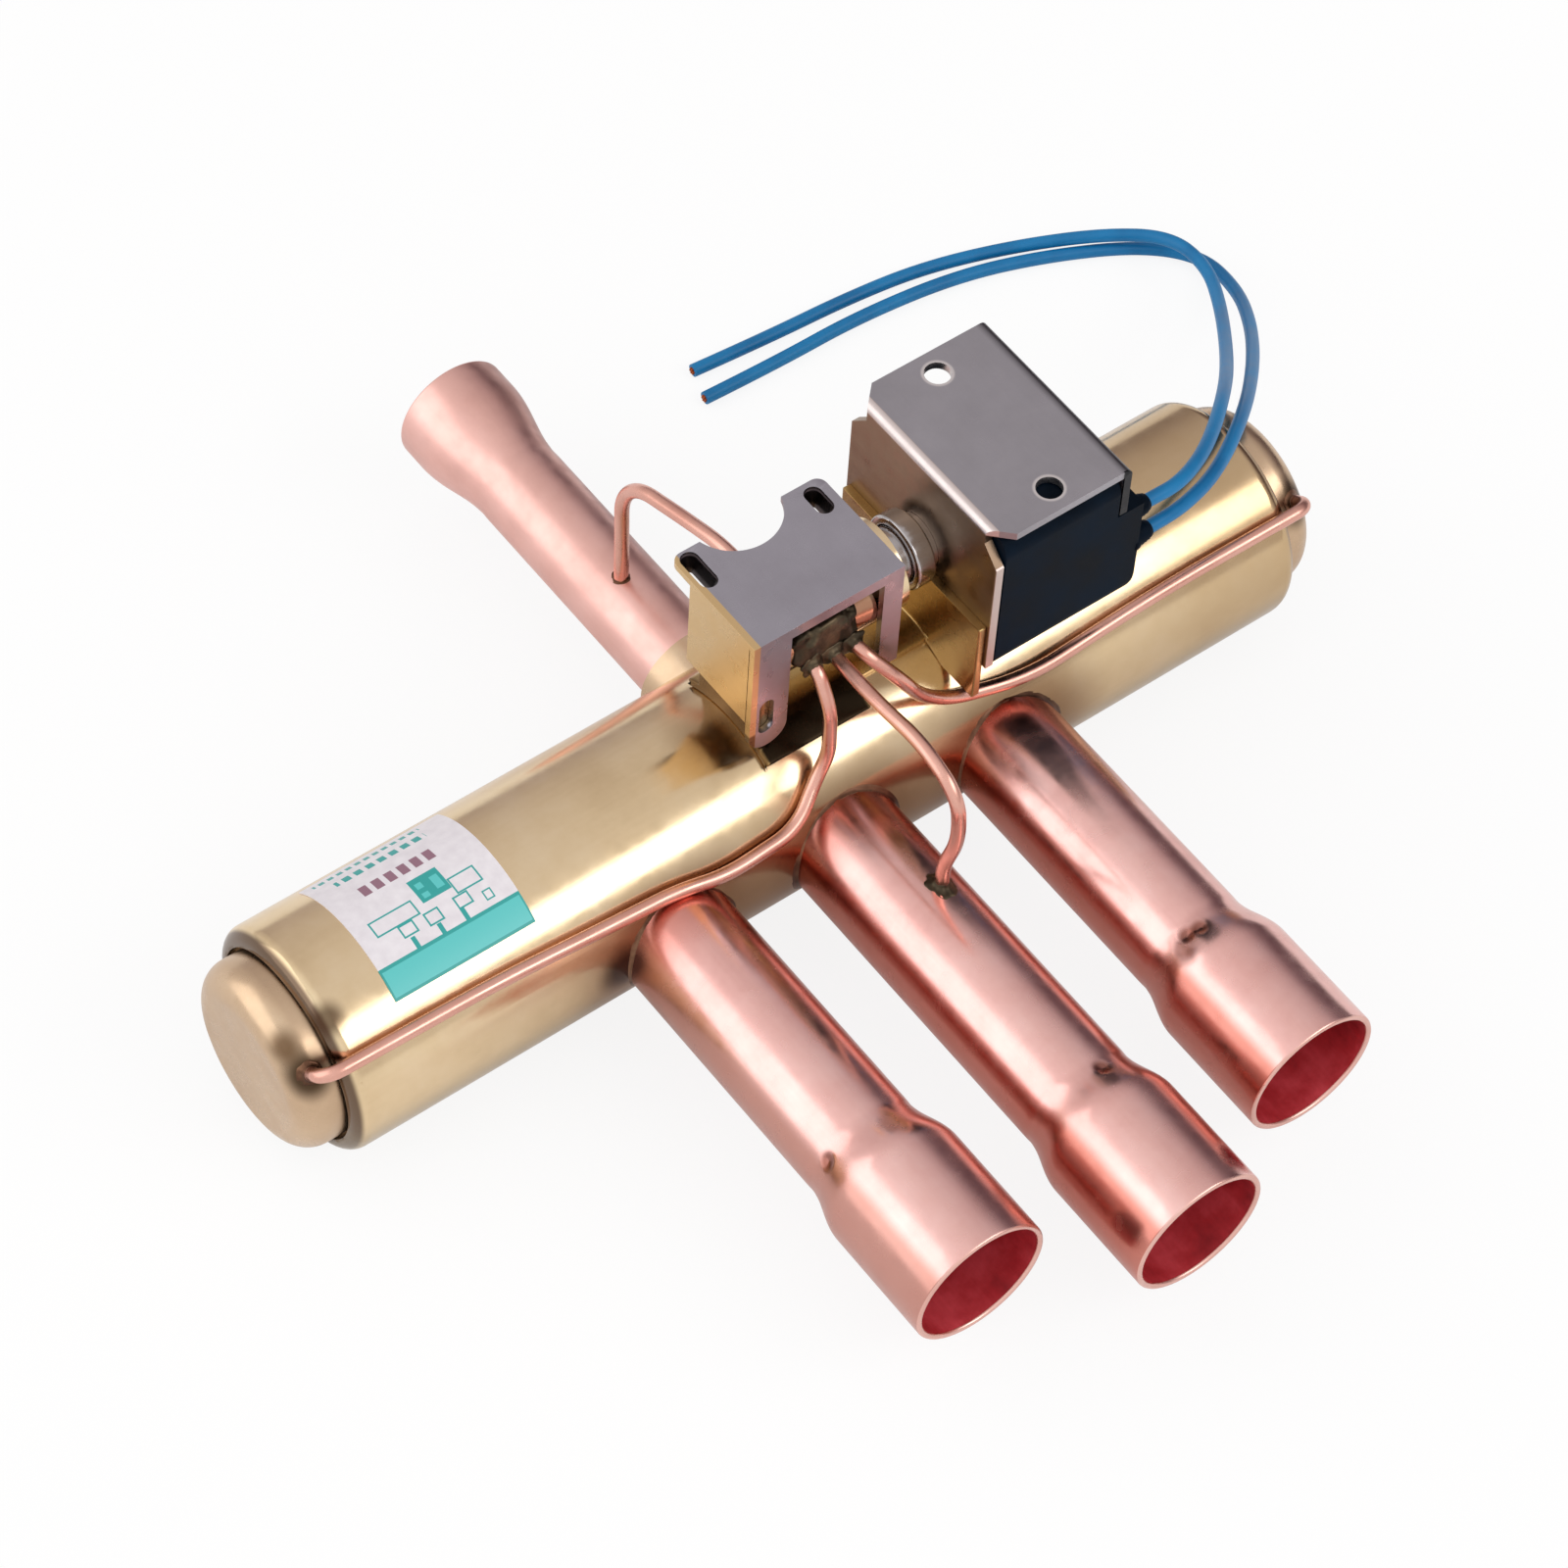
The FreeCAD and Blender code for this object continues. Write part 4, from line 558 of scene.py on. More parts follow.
# Enamelled wire: dark amber lacquer over copper.
winding_copper = metal("enamelled_winding_wire", ("6E2E14", "9C4A22", "B45C30"), rough=0.3,
                       grain_mm=0.4)

# %% Steel of the yoke, the brackets and the sleeve
# Zinc plated sheet: cool grey with a trace of violet, satin, with faint rolling lines.
yoke_steel = metal("zinc_plated_yoke", ("98959A", "A4A1A7", "AFACB2"), rough=0.34,
                   grain_mm=0.8, along="Y", dents_mm=0.0015, tint=yoke_painted_light)
bracket_steel = metal("zinc_plated_bracket", ("9A969E", "A6A3AC", "B0ADB6"), rough=0.3,
                      grain_mm=0.8, along="Y", dents_mm=0.0015, tint=bracket_gold_and_painted_shade)
# Brass plated sheet: mirrors the body under it in a darker gold.
saddle_steel = metal("brass_plated_steel", ("9C7E4E", "B29462", "C6AA78"), rough=0.26,
                     grain_mm=0.8, along="X", stain=0.3, dents_mm=0.002, tint=saddle_painted_shade)
# Drawn stainless: the brightest and whitest metal here.
stainless = metal("drawn_stainless", ("A09C9E", "B8B4B4", "CCC8C8"), rough=0.16, grain_mm=0.5,
                  along="X")
# Near-black steel: the slots' lips are painted nearly black, as painted shade inside the slots.
slot_shade_steel = metal("slot_lip_painted_black", ("262022", "3A3234", "544A4C"), rough=0.4, grain_mm=0.6,
                    along="Z")
# Tempered spring steel: a darker, bluish grey.
spring_steel = metal("spring_steel", ("6E6C70", "86848A", "9C9AA0"), rough=0.28, grain_mm=0.5,
                     along="X")

# %% Braze
# Silver braze: frozen in ripples and stained brown by flux.
braze = metal("silver_braze", ("3E2C22", "644636", "8E6A52"), rough=0.4, grain_mm=0.9,
              stain=1.2, dents_mm=0.05)
# Flux crust over braze: grey green, glassy in places, and rougher than the metal.
flux_braze = metal("fluxed_braze", ("302A22", "504638", "7E6C54"), rough=0.45, grain_mm=0.7,
                   stain=1.4, dents_mm=0.08)

# %% [markdown]
# ## Plastics
# The coil is moulded in black polyester, the leads are PVC, the seals PTFE and the sliders nylon.
# A moulded skin has a fine pebble from the tool and is never one even tone, so each has two
# shades in soft clouds, a roughness that follows them, and a shallow pebble as bump.


# %% A moulded plastic
PLASTIC_CLOUD_MM = 9


def plastic(name, dark, light, rough, pebble_mm, depth_mm, ior=1.5, shine=0.5):
    """Moulded or extruded plastic; shine is the share of a plain plastic's reflection."""
    material, tree = start_material(name)
    place = add_node(tree, "ShaderNodeTexCoord").outputs["Object"]
    pebble = add_node(tree, "ShaderNodeTexNoise",
                      {"Vector": place, "Scale": 1 / (pebble_mm * MM), "Detail": 2.0})
    cloud = add_node(tree, "ShaderNodeTexNoise",
                     {"Vector": place, "Scale": 1 / (PLASTIC_CLOUD_MM * MM), "Detail": 4.0})
    colour = add_node(tree, "ShaderNodeValToRGB", {"Fac": cloud},
                      stops=[(0.35, dark), (0.65, light)])
    gloss = add_node(tree, "ShaderNodeMapRange",
                     {"Value": cloud, "From Min": 0.3, "From Max": 0.7,
                      "To Min": rough * 0.85, "To Max": rough * 1.15})
    shader = add_node(tree, "ShaderNodeBsdfPrincipled",
                      {"Base Color": colour, "Roughness": gloss, "IOR": ior,
                       "Specular IOR Level": shine})
    end_material(tree, shader, pebble, 0.3, depth_mm)
    print(name, "has a pebble of", pebble_mm, "mm")
    return material


# Filled polyester: blue black and nearly without shine.
black_case = plastic("moulded_black_polyester", "040B14", "0A1826", rough=0.5, pebble_mm=0.8,
                     depth_mm=0.02, shine=0.04)
# Extruded PVC: even sky blue with a soft sheen.
lead_pvc = plastic("blue_pvc", "08659A", "1075AC", rough=0.42, pebble_mm=1.5, depth_mm=0.01,
                   shine=0.32)
# PTFE: waxy white. Its IOR is the lowest of common plastics.
white_seal = plastic("ptfe", "DCD8CE", "EEEAE2", rough=0.4, pebble_mm=0.8, depth_mm=0.02,
                     ior=1.35)
# Natural nylon: cream.
slider_nylon = plastic("moulded_nylon", "C8BFA8", "DAD2BE", rough=0.42, pebble_mm=0.8,
                       depth_mm=0.03)

# %% Each solid gets its finish
MATERIALS = {
    body_brass: ("main_body", "pilot_body"),
    cap_brass: ("end_cap_left", "end_cap_right", "discharge_collar"),
    capillary_copper: ("capillary_left", "capillary_right", "capillary_middle",
                       "capillary_discharge"),
    yoke_steel: ("coil_yoke", "coil_screw"),
    bracket_steel: ("pilot_bracket",),
    saddle_steel: ("saddle_bracket",),
    stainless: ("plunger_sleeve", "sleeve_collar", "fixed_core", "plunger"),
    seat_brass: ("valve_seat", "pilot_seat", "slide_carrier", "pilot_carrier", "piston_left",
                 "piston_right"),
    spring_steel: ("slider_spring", "plunger_spring", "piston_screw_left_1",
                   "piston_screw_left_2", "piston_screw_right_1", "piston_screw_right_2"),
    winding_copper: ("winding",),
    black_case: ("coil_case",),
    white_seal: ("piston_seal_left", "piston_seal_right"),
    slider_nylon: ("main_slider", "pilot_slider", "bobbin"),
}
for material, names in MATERIALS.items():
    for name in names:
        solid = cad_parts[name]
        solid.data.materials.clear()
        solid.data.materials.append(material)
for lead in (lead_outer, lead_inner):
    lead.data.materials.append(lead_pvc)
print("finished", sum(len(names) for names in MATERIALS.values()), "solids and both leads")

# %% [markdown]
# ## The label
# A printed polyester film is stuck round the body's left end. A picture could be wrapped on it,
# but the print is plain blocks, so each block is a mask in millimetres along and round the body,
# and its edges stay sharp however close the camera comes.


# %% Printed film label
FIBRE_MM = 2
DASH_SHARE = 0.62


def printed_block(tree, along, around, x, s, width, height):
    """1 inside a block of print centred at x along the body and s round it, in mm."""
    across = add_node(tree, "ShaderNodeMath", {0: along, 1: x, 2: width / 2},
                      operation="COMPARE")
    up_down = add_node(tree, "ShaderNodeMath", {0: around, 1: s, 2: height / 2},
                       operation="COMPARE")
    return add_node(tree, "ShaderNodeMath", {0: across, 1: up_down}, operation="MULTIPLY")


def label_film(inks):
    """Off-white film with blocks of ink, and a faint fibre in the paper under it."""
    material, tree = start_material("printed_polyester_film")
    place = add_node(tree, "ShaderNodeTexCoord").outputs["Object"]
    parts = add_node(tree, "ShaderNodeSeparateXYZ", {0: place})
    along = add_node(tree, "ShaderNodeMath", {0: parts.outputs["X"], 1: 1 / MM},
                     operation="MULTIPLY")
    over = add_node(tree, "ShaderNodeMath", {0: parts.outputs["Y"], 1: AXIS_Y_MM * MM},
                    operation="SUBTRACT")
    above = add_node(tree, "ShaderNodeMath", {0: parts.outputs["Z"], 1: AXIS_Z_MM * MM},
                     operation="SUBTRACT")
    angle = add_node(tree, "ShaderNodeMath", {0: above, 1: over}, operation="ARCTAN2")
    around = add_node(tree, "ShaderNodeMath", {0: angle, 1: BODY_RADIUS_MM},
                      operation="MULTIPLY")
    fibres = add_node(tree, "ShaderNodeTexNoise",
                      {"Vector": place, "Scale": 1 / (FIBRE_MM * MM), "Detail": 3.0})
    colour = add_node(tree, "ShaderNodeValToRGB", {"Fac": fibres},
                      stops=[(0.3, "D9D4D9"), (0.7, "E4E0E4")])
    for ink, blocks in inks:
        for x, s, width, height, line, pitch in blocks:
            mask = printed_block(tree, along, around, x, s, width, height)
            if line:
                inside = printed_block(tree, along, around, x, s, width - line, height - line)
                mask = add_node(tree, "ShaderNodeMath", {0: mask, 1: inside},
                                operation="SUBTRACT")
            if pitch:
                steps = add_node(tree, "ShaderNodeMath", {0: along, 1: pitch},
                                 operation="FLOORED_MODULO")
                dash = add_node(tree, "ShaderNodeMath", {0: steps, 1: DASH_SHARE * pitch},
                                operation="LESS_THAN")
                mask = add_node(tree, "ShaderNodeMath", {0: mask, 1: dash},
                                operation="MULTIPLY")
            colour = tinted(tree, colour, [mask], ink, 1.0)
    shader = add_node(tree, "ShaderNodeBsdfPrincipled",
                      {"Base Color": colour, "Roughness": 0.35})
    end_material(tree, shader, fibres, 0.15, 0.02)
    return material


# %% Blocks in three inks
# Each block is x along the body, s round it from the back, width, height, the line of a hollow
# block and the pitch of a dashed one, all in millimetres.
TEAL = [(-69.5, 41.9, 27.0, 5.6, 0, 0), (-75.7, 33.1, 8.1, 3.0, 0.6, 0),
        (-62.4, 33.2, 4.9, 3.2, 0.6, 0), (-67.6, 30.9, 5.4, 4.8, 0, 0),
        (-74.8, 35.7, 2.8, 2.3, 0.6, 0), (-70.2, 36.0, 2.8, 2.4, 0.6, 0),
        (-64.7, 36.0, 2.8, 2.3, 0.6, 0), (-75.0, 38.1, 0.8, 2.0, 0, 0),
        (-70.2, 38.2, 0.8, 1.8, 0, 0), (-65.7, 38.1, 0.8, 2.0, 0, 0),
        (-60.7, 37.2, 1.6, 1.8, 0.5, 0), (-71.0, 17.2, 20.0, 1.2, 0, 1.7),
        (-70.0, 20.4, 17.0, 1.6, 0, 2.2)]
PALE_TEAL = [(-69.5, 41.9, 25.8, 4.4, 0, 0), (-69.0, 30.2, 1.2, 1.2, 0, 0),
             (-69.0, 32.2, 1.2, 1.0, 0, 0), (-66.2, 31.0, 1.4, 2.6, 0, 0)]
PLUM = [(-70.0, 25.6, 13.6, 2.4, 0, 2.4)]
INKS = [("2B9C98", TEAL), ("58C0BE", PALE_TEAL), ("8E6878", PLUM)]
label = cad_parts["label"]
label.data.materials.clear()
label.data.materials.append(label_film(INKS))
print("the label has", sum(len(blocks) for _, blocks in INKS), "plain blocks")

# %% [markdown]
# ## Copper tubes
# Each tube is a drawn pipe whose mouth was opened over a mandrel into a socket, and a punch left
# stop dimples where the socket ends. Blender's Screw modifier could turn the section, but then
# no dimple could be pressed in, so the section is turned in code. One mesh carries three
# finishes: the drawn outside, the sawn rim, and the bore with its painted deep red reflection.


# %% Meshes from rings of points
def sideways(way, turned):
    """Unit vector square to a way, turned round it."""
    first = way.orthogonal().normalized()
    return first * math.cos(turned) + way.cross(first) * math.sin(turned)


def new_piece(name, rings, materials, closed=False):
    """A smooth mesh through rings of points in millimetres.

    The last ring is joined to the first if closed, and else a face shuts either end.
    """
    count = len(rings[0])
    total = count * len(rings)
    faces = []
    for i in range(0, total if closed else total - count, count):
        for j in range(count):
            k = (j + 1) % count
            faces.append((i + j, i + k, (i + count + k) % total, (i + count + j) % total))
    if not closed:
        faces.extend([range(count), range(total - count, total)])
    build = bmesh.new()
    corners = [build.verts.new(in_mm(*point)) for ring in rings for point in ring]
    for face in faces:
        build.faces.new([corners[i] for i in face])
    bmesh.ops.recalc_face_normals(build, faces=build.faces)
    mesh = bpy.data.meshes.new(name)
    build.to_mesh(mesh)
    build.free()
    for material in materials:
        mesh.materials.append(material)
    for polygon in mesh.polygons:
        polygon.use_smooth = True
    piece = new_object(name, mesh)
    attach(piece, FIXED)
    return piece


# %% Turned tubes with sockets and dimples
ROUND = 144
RIM_STEPS = 8
DIMPLE_RADIUS = 1.7
DIMPLE_DEPTH = 0.5
GROOVE_HALF = 0.8
GROOVE_DEPTH = 0.06
WIDE_STEP, BORE_STEP, FINE_STEP = 2.5, 1.5, 0.5
OUTSIDE, RIM, BORE = 0, 1, 2


def spread_evenly(start, end, step):
    """Stops from start to end, both included, about a step apart."""
    count = max(1, round(abs(end - start) / step))
    return [start + (end - start) * i / count for i in range(count + 1)]


def turned_tube(node, x, way, start, reach, narrow, wide, wall, depth, flare, copper):
    """A tube that runs from start to reach along Y, away from the body's axis.

    Its outer radius grows from narrow to wide over the flare, and its socket is depth deep.
    """
    flare_end = reach - depth
    flare_start = flare_end - flare

    def outer(distance):
        part = min(1, max(0, (distance - flare_start) / flare))
        groove = GROOVE_DEPTH * math.exp(-((distance - flare_start) / GROOVE_HALF) ** 2)
        return narrow + (wide - narrow) * (1 - math.cos(math.pi * part)) / 2 - groove

    dimples = [d for d in DIMPLES if d[0] == x and way < 0]
    stops = set(spread_evenly(start, flare_start - 2, WIDE_STEP))
    stops.update(spread_evenly(flare_start - 2, flare_end, FINE_STEP))
    stops.update(spread_evenly(flare_end, reach - wall / 2, WIDE_STEP))
    section = [(stop, outer(stop), OUTSIDE) for stop in sorted(stops)]
    for i in range(1, RIM_STEPS):
        turned = math.pi * i / RIM_STEPS
        section.append((reach - wall / 2 + wall / 2 * math.sin(turned),
                        wide - wall / 2 + wall / 2 * math.cos(turned), RIM))
    for stop in reversed(spread_evenly(start, reach - wall / 2, BORE_STEP)):
        section.append((stop, outer(stop) - wall, BORE))
    rings = []
    for j in range(ROUND):
        angle = TURN * j / ROUND
        ring = []
        for distance, radius, finish_slot in section:
            for _, at, round_to in dimples:
                turned = math.remainder(angle - math.radians(round_to), TURN)
                off = ((distance - at) ** 2 + (radius * turned) ** 2) / DIMPLE_RADIUS ** 2
                if finish_slot == OUTSIDE and off < 1:
                    radius -= DIMPLE_DEPTH * (1 - off) ** 2
            ring.append((x + radius * math.cos(angle), AXIS_Y_MM + way * distance,
                         AXIS_Z_MM + radius * math.sin(angle)))
        rings.append(ring)
    tube = new_piece(node + "_drawn", rings, [copper, rim_copper, bore_copper],
                     closed=True)
    kinds = [row[2] for row in section]
    for i, polygon in enumerate(tube.data.polygons):
        polygon.material_index = kinds[i % len(section)]
    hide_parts(node)
    print(node, "turned with", len(dimples), "dimples and", len(tube.data.polygons), "faces")


# %% Three tubes in front and one behind
TUBE_RADIUS = 10.15
DISCHARGE_RADIUS = 8.0
for node, x, reach in zip(("tube_evaporator", "tube_suction", "tube_condenser"), PORTS,
                          (97.6, 110.1, 97.6)):
    turned_tube(node, x=x, way=-1, start=14.0, reach=reach, narrow=TUBE_RADIUS, wide=12.275,
                wall=1.1, depth=21.1, flare=9.0, copper=tube_copper)
turned_tube("tube_discharge", x=0.0, way=1, start=17.0, reach=91.9, narrow=DISCHARGE_RADIUS,
            wide=10.4, wall=0.8, depth=5.0, flare=15.0, copper=annealed_copper)

# %% [markdown]
# ## Braze
# Where a tube enters the body, molten filler has crept into the corner and frozen in a hollow
# fillet, dark with flux and uneven in width. A bevel on a joined mesh would be as even as a
# machined edge. Each fillet is swept instead round the line where the two surfaces meet, which
# is found by following the tube's side until it touches, and smooth noise makes it uneven.


# %% Surfaces that a fillet can sit on
def pipe_side(centre, along, radius):
    """Distance from a point, along a way, to the near side of a pipe."""
    centre, along = Vector(centre), Vector(along)

    def reach(point, way):
        off = point - centre
        off -= along * off.dot(along)
        across = way - along * way.dot(along)
        a = across.dot(across)
        b = off.dot(across)
        c = off.dot(off) - radius ** 2
        return (-b - math.sqrt(max(b * b - a * c, 0))) / a
    return reach


def flat_face(centre, normal):
    """Distance from a point, along a way, to a plane."""
    centre, normal = Vector(centre), Vector(normal)
    return lambda point, way: (centre - point).dot(normal) / way.dot(normal)


CAP_RADIUS = 16.5
CAP_EDGE = 5
CAP_END = -box_mm("end_cap_left")[0].x


def cap_side(point, way):
    """Distance to the side of an end cap, whose edge is rounded."""
    past = min(CAP_EDGE, max(0, abs(point.x) - (CAP_END - CAP_EDGE)))
    radius = CAP_RADIUS - CAP_EDGE + math.sqrt(CAP_EDGE ** 2 - past ** 2)
    return pipe_side((0, AXIS_Y_MM, AXIS_Z_MM), (1, 0, 0), radius)(point, way)


print("the end caps reach %.1f mm from the middle" % CAP_END)

# %% A hollow fillet of braze
FILLET_ROUND = 72
FILLET_STEPS = 6


def braze_ring(name, surface, root, way, radius, climb, spread, material, uneven=0.45, seed=0):
    """Hollow fillet round a tube of this radius that runs from root along way to a surface."""
    root, way = Vector(root), Vector(way).normalized()
    rings = []
    for k in range(FILLET_ROUND):
        side = sideways(way, TURN * k / FILLET_ROUND)
        fat = 1 + uneven * noise.noise(side * 1.3 + Vector((seed, 0, 0)))
        wide = 1 + uneven * 1.4 * noise.noise(side * 1.7 + Vector((0, seed, 5)))

        def meet(off):
            point = root + side * off
            return point + way * surface(point, way)
        corner = meet(radius)
        top = corner - way * climb * fat
        toe = meet(radius + spread * wide)
        pull = corner + (side * spread - way * climb) * 0.12
        ring = [top - side * 0.3]
        for i in range(FILLET_STEPS + 1):
            t = i / FILLET_STEPS
            point = top * (1 - t) ** 2 + pull * 2 * t * (1 - t) + toe * t ** 2
            lump = 0.08 * noise.noise(point * 1.1) if 0 < i < FILLET_STEPS else 0
            ring.append(point + (side - way) * lump)
        ring.extend([toe + way * 0.3, corner + way * 0.4 - side * 0.4])
        rings.append(ring)
    return new_piece(name, rings, [material], closed=True)


# %% Fillets at the tubes and the thin capillaries
CAPILLARY_RADIUS = 1.2
BODY_SIDE = pipe_side((0, AXIS_Y_MM, AXIS_Z_MM), (1, 0, 0), BODY_RADIUS_MM)
SUCTION_SIDE = pipe_side((0, 0, AXIS_Z_MM), (0, 1, 0), TUBE_RADIUS)
DISCHARGE_SIDE = pipe_side((0, 0, AXIS_Z_MM), (0, 1, 0), DISCHARGE_RADIUS)
DOWN, BACK = (0, 0, -1), (0, 1, 0)
for seed, (name, x) in enumerate(zip(("evaporator", "suction", "condenser"), PORTS)):
    braze_ring("braze_" + name, BODY_SIDE, root=(x, -60, AXIS_Z_MM), way=BACK,
               radius=TUBE_RADIUS, climb=0.45, spread=0.6, material=braze, uneven=0.9,
               seed=seed * 7.3)
braze_ring("braze_suction_capillary", SUCTION_SIDE, root=(3, AXIS_Y_MM - 40, 50), way=DOWN,
           radius=CAPILLARY_RADIUS, climb=1.0, spread=1.6, material=flux_braze, seed=3)
braze_ring("braze_discharge_capillary", DISCHARGE_SIDE, root=(-1.4, AXIS_Y_MM + 40.6, 50),
           way=DOWN, radius=1.25, climb=0.4, spread=0.35, material=braze, seed=4)

# %% Fillets at the caps, the sleeve and the pilot valve
CAP_ANGLE = math.radians(140)
CAP_BRAZE_X = 98.9
PILOT_FRONT = flat_face((0, bracket_low.y, 0), (0, -1, 0))
PILOT_RIGHT = flat_face((19, 0, 0), (1, 0, 0))
outward = Vector((0, math.cos(CAP_ANGLE), math.sin(CAP_ANGLE)))
for name, x in (("left", -CAP_BRAZE_X), ("right", CAP_BRAZE_X)):
    braze_ring("braze_cap_" + name, cap_side,
               root=Vector((x, AXIS_Y_MM, AXIS_Z_MM)) + outward * 40, way=-outward,
               radius=CAPILLARY_RADIUS, climb=0.9, spread=0.8, material=braze, uneven=0.3,
               seed=x)
braze_ring("braze_sleeve", PILOT_RIGHT, root=(40, AXIS_Y_MM, 58.9), way=(-1, 0, 0),
           radius=5.0, climb=0.8, spread=1.0, material=braze, seed=9)
for x in (-1, 3, 7):
    braze_ring("braze_pilot_%d" % (x + 1), PILOT_FRONT, root=(x, -20, 56.8), way=BACK,
               radius=CAPILLARY_RADIUS, climb=1.1, spread=1.1, material=flux_braze, seed=x + 20)
print("laid the braze fillets")

# %% [markdown]
# ## The brazed pad of the pilot valve
# The three thin tubes enter the pilot valve through a small pad that is drowned in filler and
# flux. It is no clean block. Sculpting it by hand would do, but noise gives the same runny look
# and can be repeated, so it is a rounded lump pushed about by two sizes of noise.

# %% Lump of filler over the pad
LUMP_CENTRE = Vector((2.2, 2.6, 60.2))
LUMP_HALF = Vector((6.4, 2.7, 4.6))
ROWS, COLUMNS = 40, 72


def squared(value, power=0.55):
    """A sine or cosine that lingers near its ends, which squares off a ball."""
    return math.copysign(abs(value) ** power, value)


rings = []
for row in range(1, ROWS):
    tall = -math.pi / 2 + math.pi * row / ROWS
    ring = []
    for column in range(COLUMNS):
        around = TURN * column / COLUMNS
        point = Vector((squared(math.cos(tall)) * squared(math.cos(around)),
                        squared(math.cos(tall)) * squared(math.sin(around)),
                        squared(math.sin(tall))))
        place = LUMP_CENTRE + point * LUMP_HALF
        push = 0.8 * noise.noise(place * 0.5) + 0.25 * noise.noise(place * 1.2)
        ring.append(place + point.normalized() * push)
    rings.append(ring)
lump = new_piece("pilot_braze_lump", rings, [flux_braze])
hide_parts("pilot_braze_block")
print("lump of filler with", len(lump.data.polygons), "faces")

# %% [markdown]
# ## Lips of the bracket's slots
# The two slots in the bracket's ears are pierced and drawn down, so that each has a lip for a
# screw to bite in. A Solidify modifier on a ring of edges would leave the wall even, but a drawn
# lip thins and flares, so a small section is carried round the slot's outline instead. The lips
# are near black: painted shade that keeps the slots dark.

# %% Drawn lips under both slots
SHEET = 1.2
SLOT_HALF = 1.6
SLOT_ROUND = 48
LIP = [(-0.03, -0.2), (-0.15, -1.0), (-0.75, -2.6), (-1.0, -3.8), (-0.9, -4.1), (-0.5, -3.9),
       (-0.1, -2.6), (0.5, -SHEET), (0.05, -SHEET + 0.1)]


def slot_lip(name, x, y, length):
    """A wall round a slot along Y, whose section is (out from the slot's edge, down)."""
    straight = length / 2 - SLOT_HALF
    rings = []
    for k in range(SLOT_ROUND):
        turned = TURN * (k + 0.5) / SLOT_ROUND
        side = math.cos(turned)
        end = math.sin(turned)
        shift = math.copysign(straight, end)
        rings.append([(x + side * (SLOT_HALF + out), y + shift + end * (SLOT_HALF + out),
                       bracket_high.z + down) for out, down in LIP])
    return new_piece(name, rings, [slot_shade_steel], closed=True)


slot_lip("slot_lip_left", x=bracket_low.x + 2.4, y=bracket_high.y - 4.444, length=8.0)
slot_lip("slot_lip_right", x=bracket_high.x - 3.2, y=bracket_high.y - 4.0, length=6.0)
print("drew the lips of both slots", SHEET, "mm below the bracket's face")

# %% [markdown]
# ## Return spring
# The spring that pushes the plunger out of the coil is wound from stainless wire, with a closed
# turn at either end so that it stands square. The wire is swept along its own helix here into a
# mesh of its own, which could shorten as the plunger is drawn in; here it keeps its full length.

# %% Wound spring
WIRE, WIRE_ROUND = 0.5, 10
TURNS, STEPS, TRAVEL = 9, 36, 4.0
spring_low, spring_high = box_mm("plunger_spring")
coil = (spring_high.y - spring_low.y - WIRE) / 2
middle_y, middle_z = (spring_low.y + spring_high.y) / 2, (spring_low.z + spring_high.z) / 2
closed_end = WIRE * 1.08
open_pitch = (spring_high.x - spring_low.x - WIRE - 2 * closed_end) / (TURNS - 2)
rings = []
for k in range(TURNS * STEPS + 1):
    turn = k / STEPS
    opened = min(TURNS - 2, max(0, turn - 1))
    along = spring_low.x + WIRE / 2 + opened * open_pitch + (turn - opened) * closed_end
    out = Vector((0, math.cos(TURN * turn), math.sin(TURN * turn)))
    centre = Vector((along, middle_y, middle_z)) + out * coil
    rings.append([centre + (out * math.cos(TURN * j / WIRE_ROUND)
                            + Vector((1, 0, 0)) * math.sin(TURN * j / WIRE_ROUND)) * WIRE / 2
                  for j in range(WIRE_ROUND)])
spring = new_piece("plunger_spring_wound", rings, [spring_steel])
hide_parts("plunger_spring")
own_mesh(spring)

# %% [markdown]
# ## Lead exits and ends
# A short sleeve is moulded round each lead where it leaves the coil, thinner towards its end, so
# that the lead bends there gently. At the far end the lead is cut square and shows its strands.


# %% Sleeves and strands
def turned_along(name, start, way, section, materials, count=40):
    """A closed turned piece; the section is (distance, radius) from end to end."""
    start, way = Vector(start), Vector(way).normalized()
    rings = [[start + way * distance + sideways(way, TURN * k / count) * radius
              for k in range(count)] for distance, radius in section]
    return new_piece(name, rings, materials)


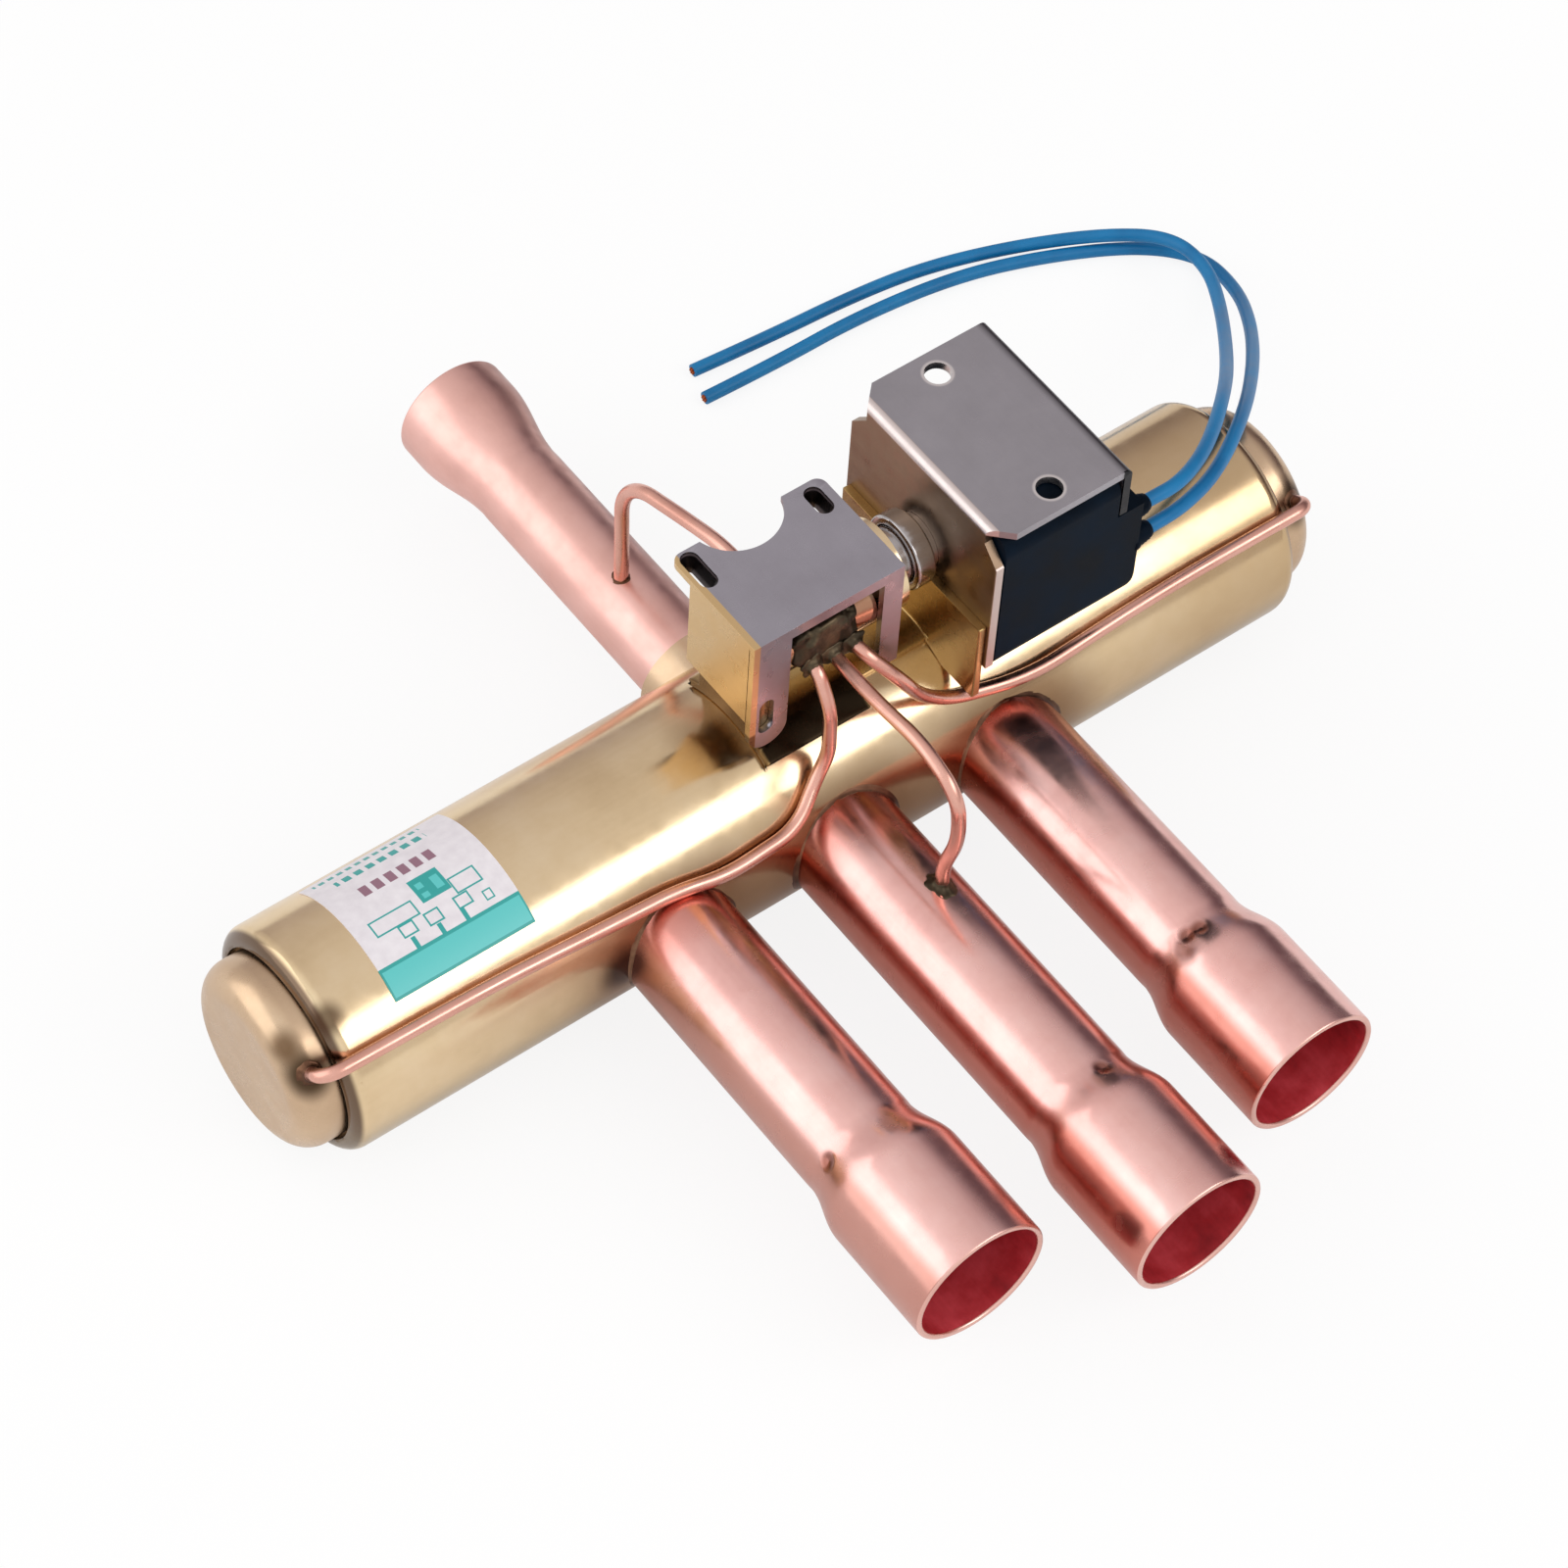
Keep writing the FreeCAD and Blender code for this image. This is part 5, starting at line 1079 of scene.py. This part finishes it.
SLEEVE = [(0, 2.3), (0.4, 2.35), (0.8, 2.3), (1.6, 1.95), (1.9, 2.0), (2.3, 1.85), (2.6, 1.9),
          (3.0, 1.75), (3.3, 1.8), (3.7, 1.62), (4.1, 1.5), (4.3, 1.32), (4.35, 1.1)]
STRAND = [(0, 0.2), (0.1, 0.23), (0.75, 0.23), (0.85, 0.15)]
OUTER_STRANDS, STRAND_RING, STRAND_INSIDE = 6, 0.48, 0.5
for name, points in (("outer", OUTER_LEAD), ("inner", INNER_LEAD)):
    turned_along("lead_sleeve_" + name, (57.0, points[0][1], points[0][2]), (1, 0, 0), SLEEVE,
                 [black_case])
    end = Vector(points[-1])
    way = (end - Vector(points[-2])).normalized()
    for k in range(OUTER_STRANDS + 1):
        off = STRAND_RING if k < OUTER_STRANDS else 0
        root = end + sideways(way, TURN * k / OUTER_STRANDS) * off - way * STRAND_INSIDE
        turned_along("strand_%s_%d" % (name, k), root, way, STRAND,
                     [winding_copper], count=10)
print("added sleeves and strands to both leads")

# %% [markdown]
# ## Softer edges
# A folded or sawn edge is never a knife edge: it has a small radius that catches the light. The
# imported solids have split corners, so they are welded first, then bevelled by angle, and the
# normals are weighted by face area so that flat faces stay flat.

# %% Edge rounding
EDGES = {"coil_yoke": 0.45, "pilot_bracket": 0.35, "saddle_bracket": 0.3, "coil_case": 0.8,
         "coil_screw": 0.3, "main_body": 0.25, "end_cap_left": 0.3, "end_cap_right": 0.3,
         "discharge_collar": 0.4, "pilot_body": 0.4, "plunger_sleeve": 0.1,
         "sleeve_collar": 0.5}
for name, width in EDGES.items():
    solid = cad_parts[name]
    weld = solid.modifiers.new("weld", "WELD")
    weld.merge_threshold = 0.002 * MM
    edge = solid.modifiers.new("edge", "BEVEL")
    edge.width = width * MM
    edge.segments = 3
    edge.limit_method = "ANGLE"
    edge.angle_limit = math.radians(35)
    edge.use_clamp_overlap = True
    normals = solid.modifiers.new("normals", "WEIGHTED_NORMAL")
    normals.keep_sharp = False
    for polygon in solid.data.polygons:
        polygon.use_smooth = True
print("rounded the edges of", len(EDGES), "solids")
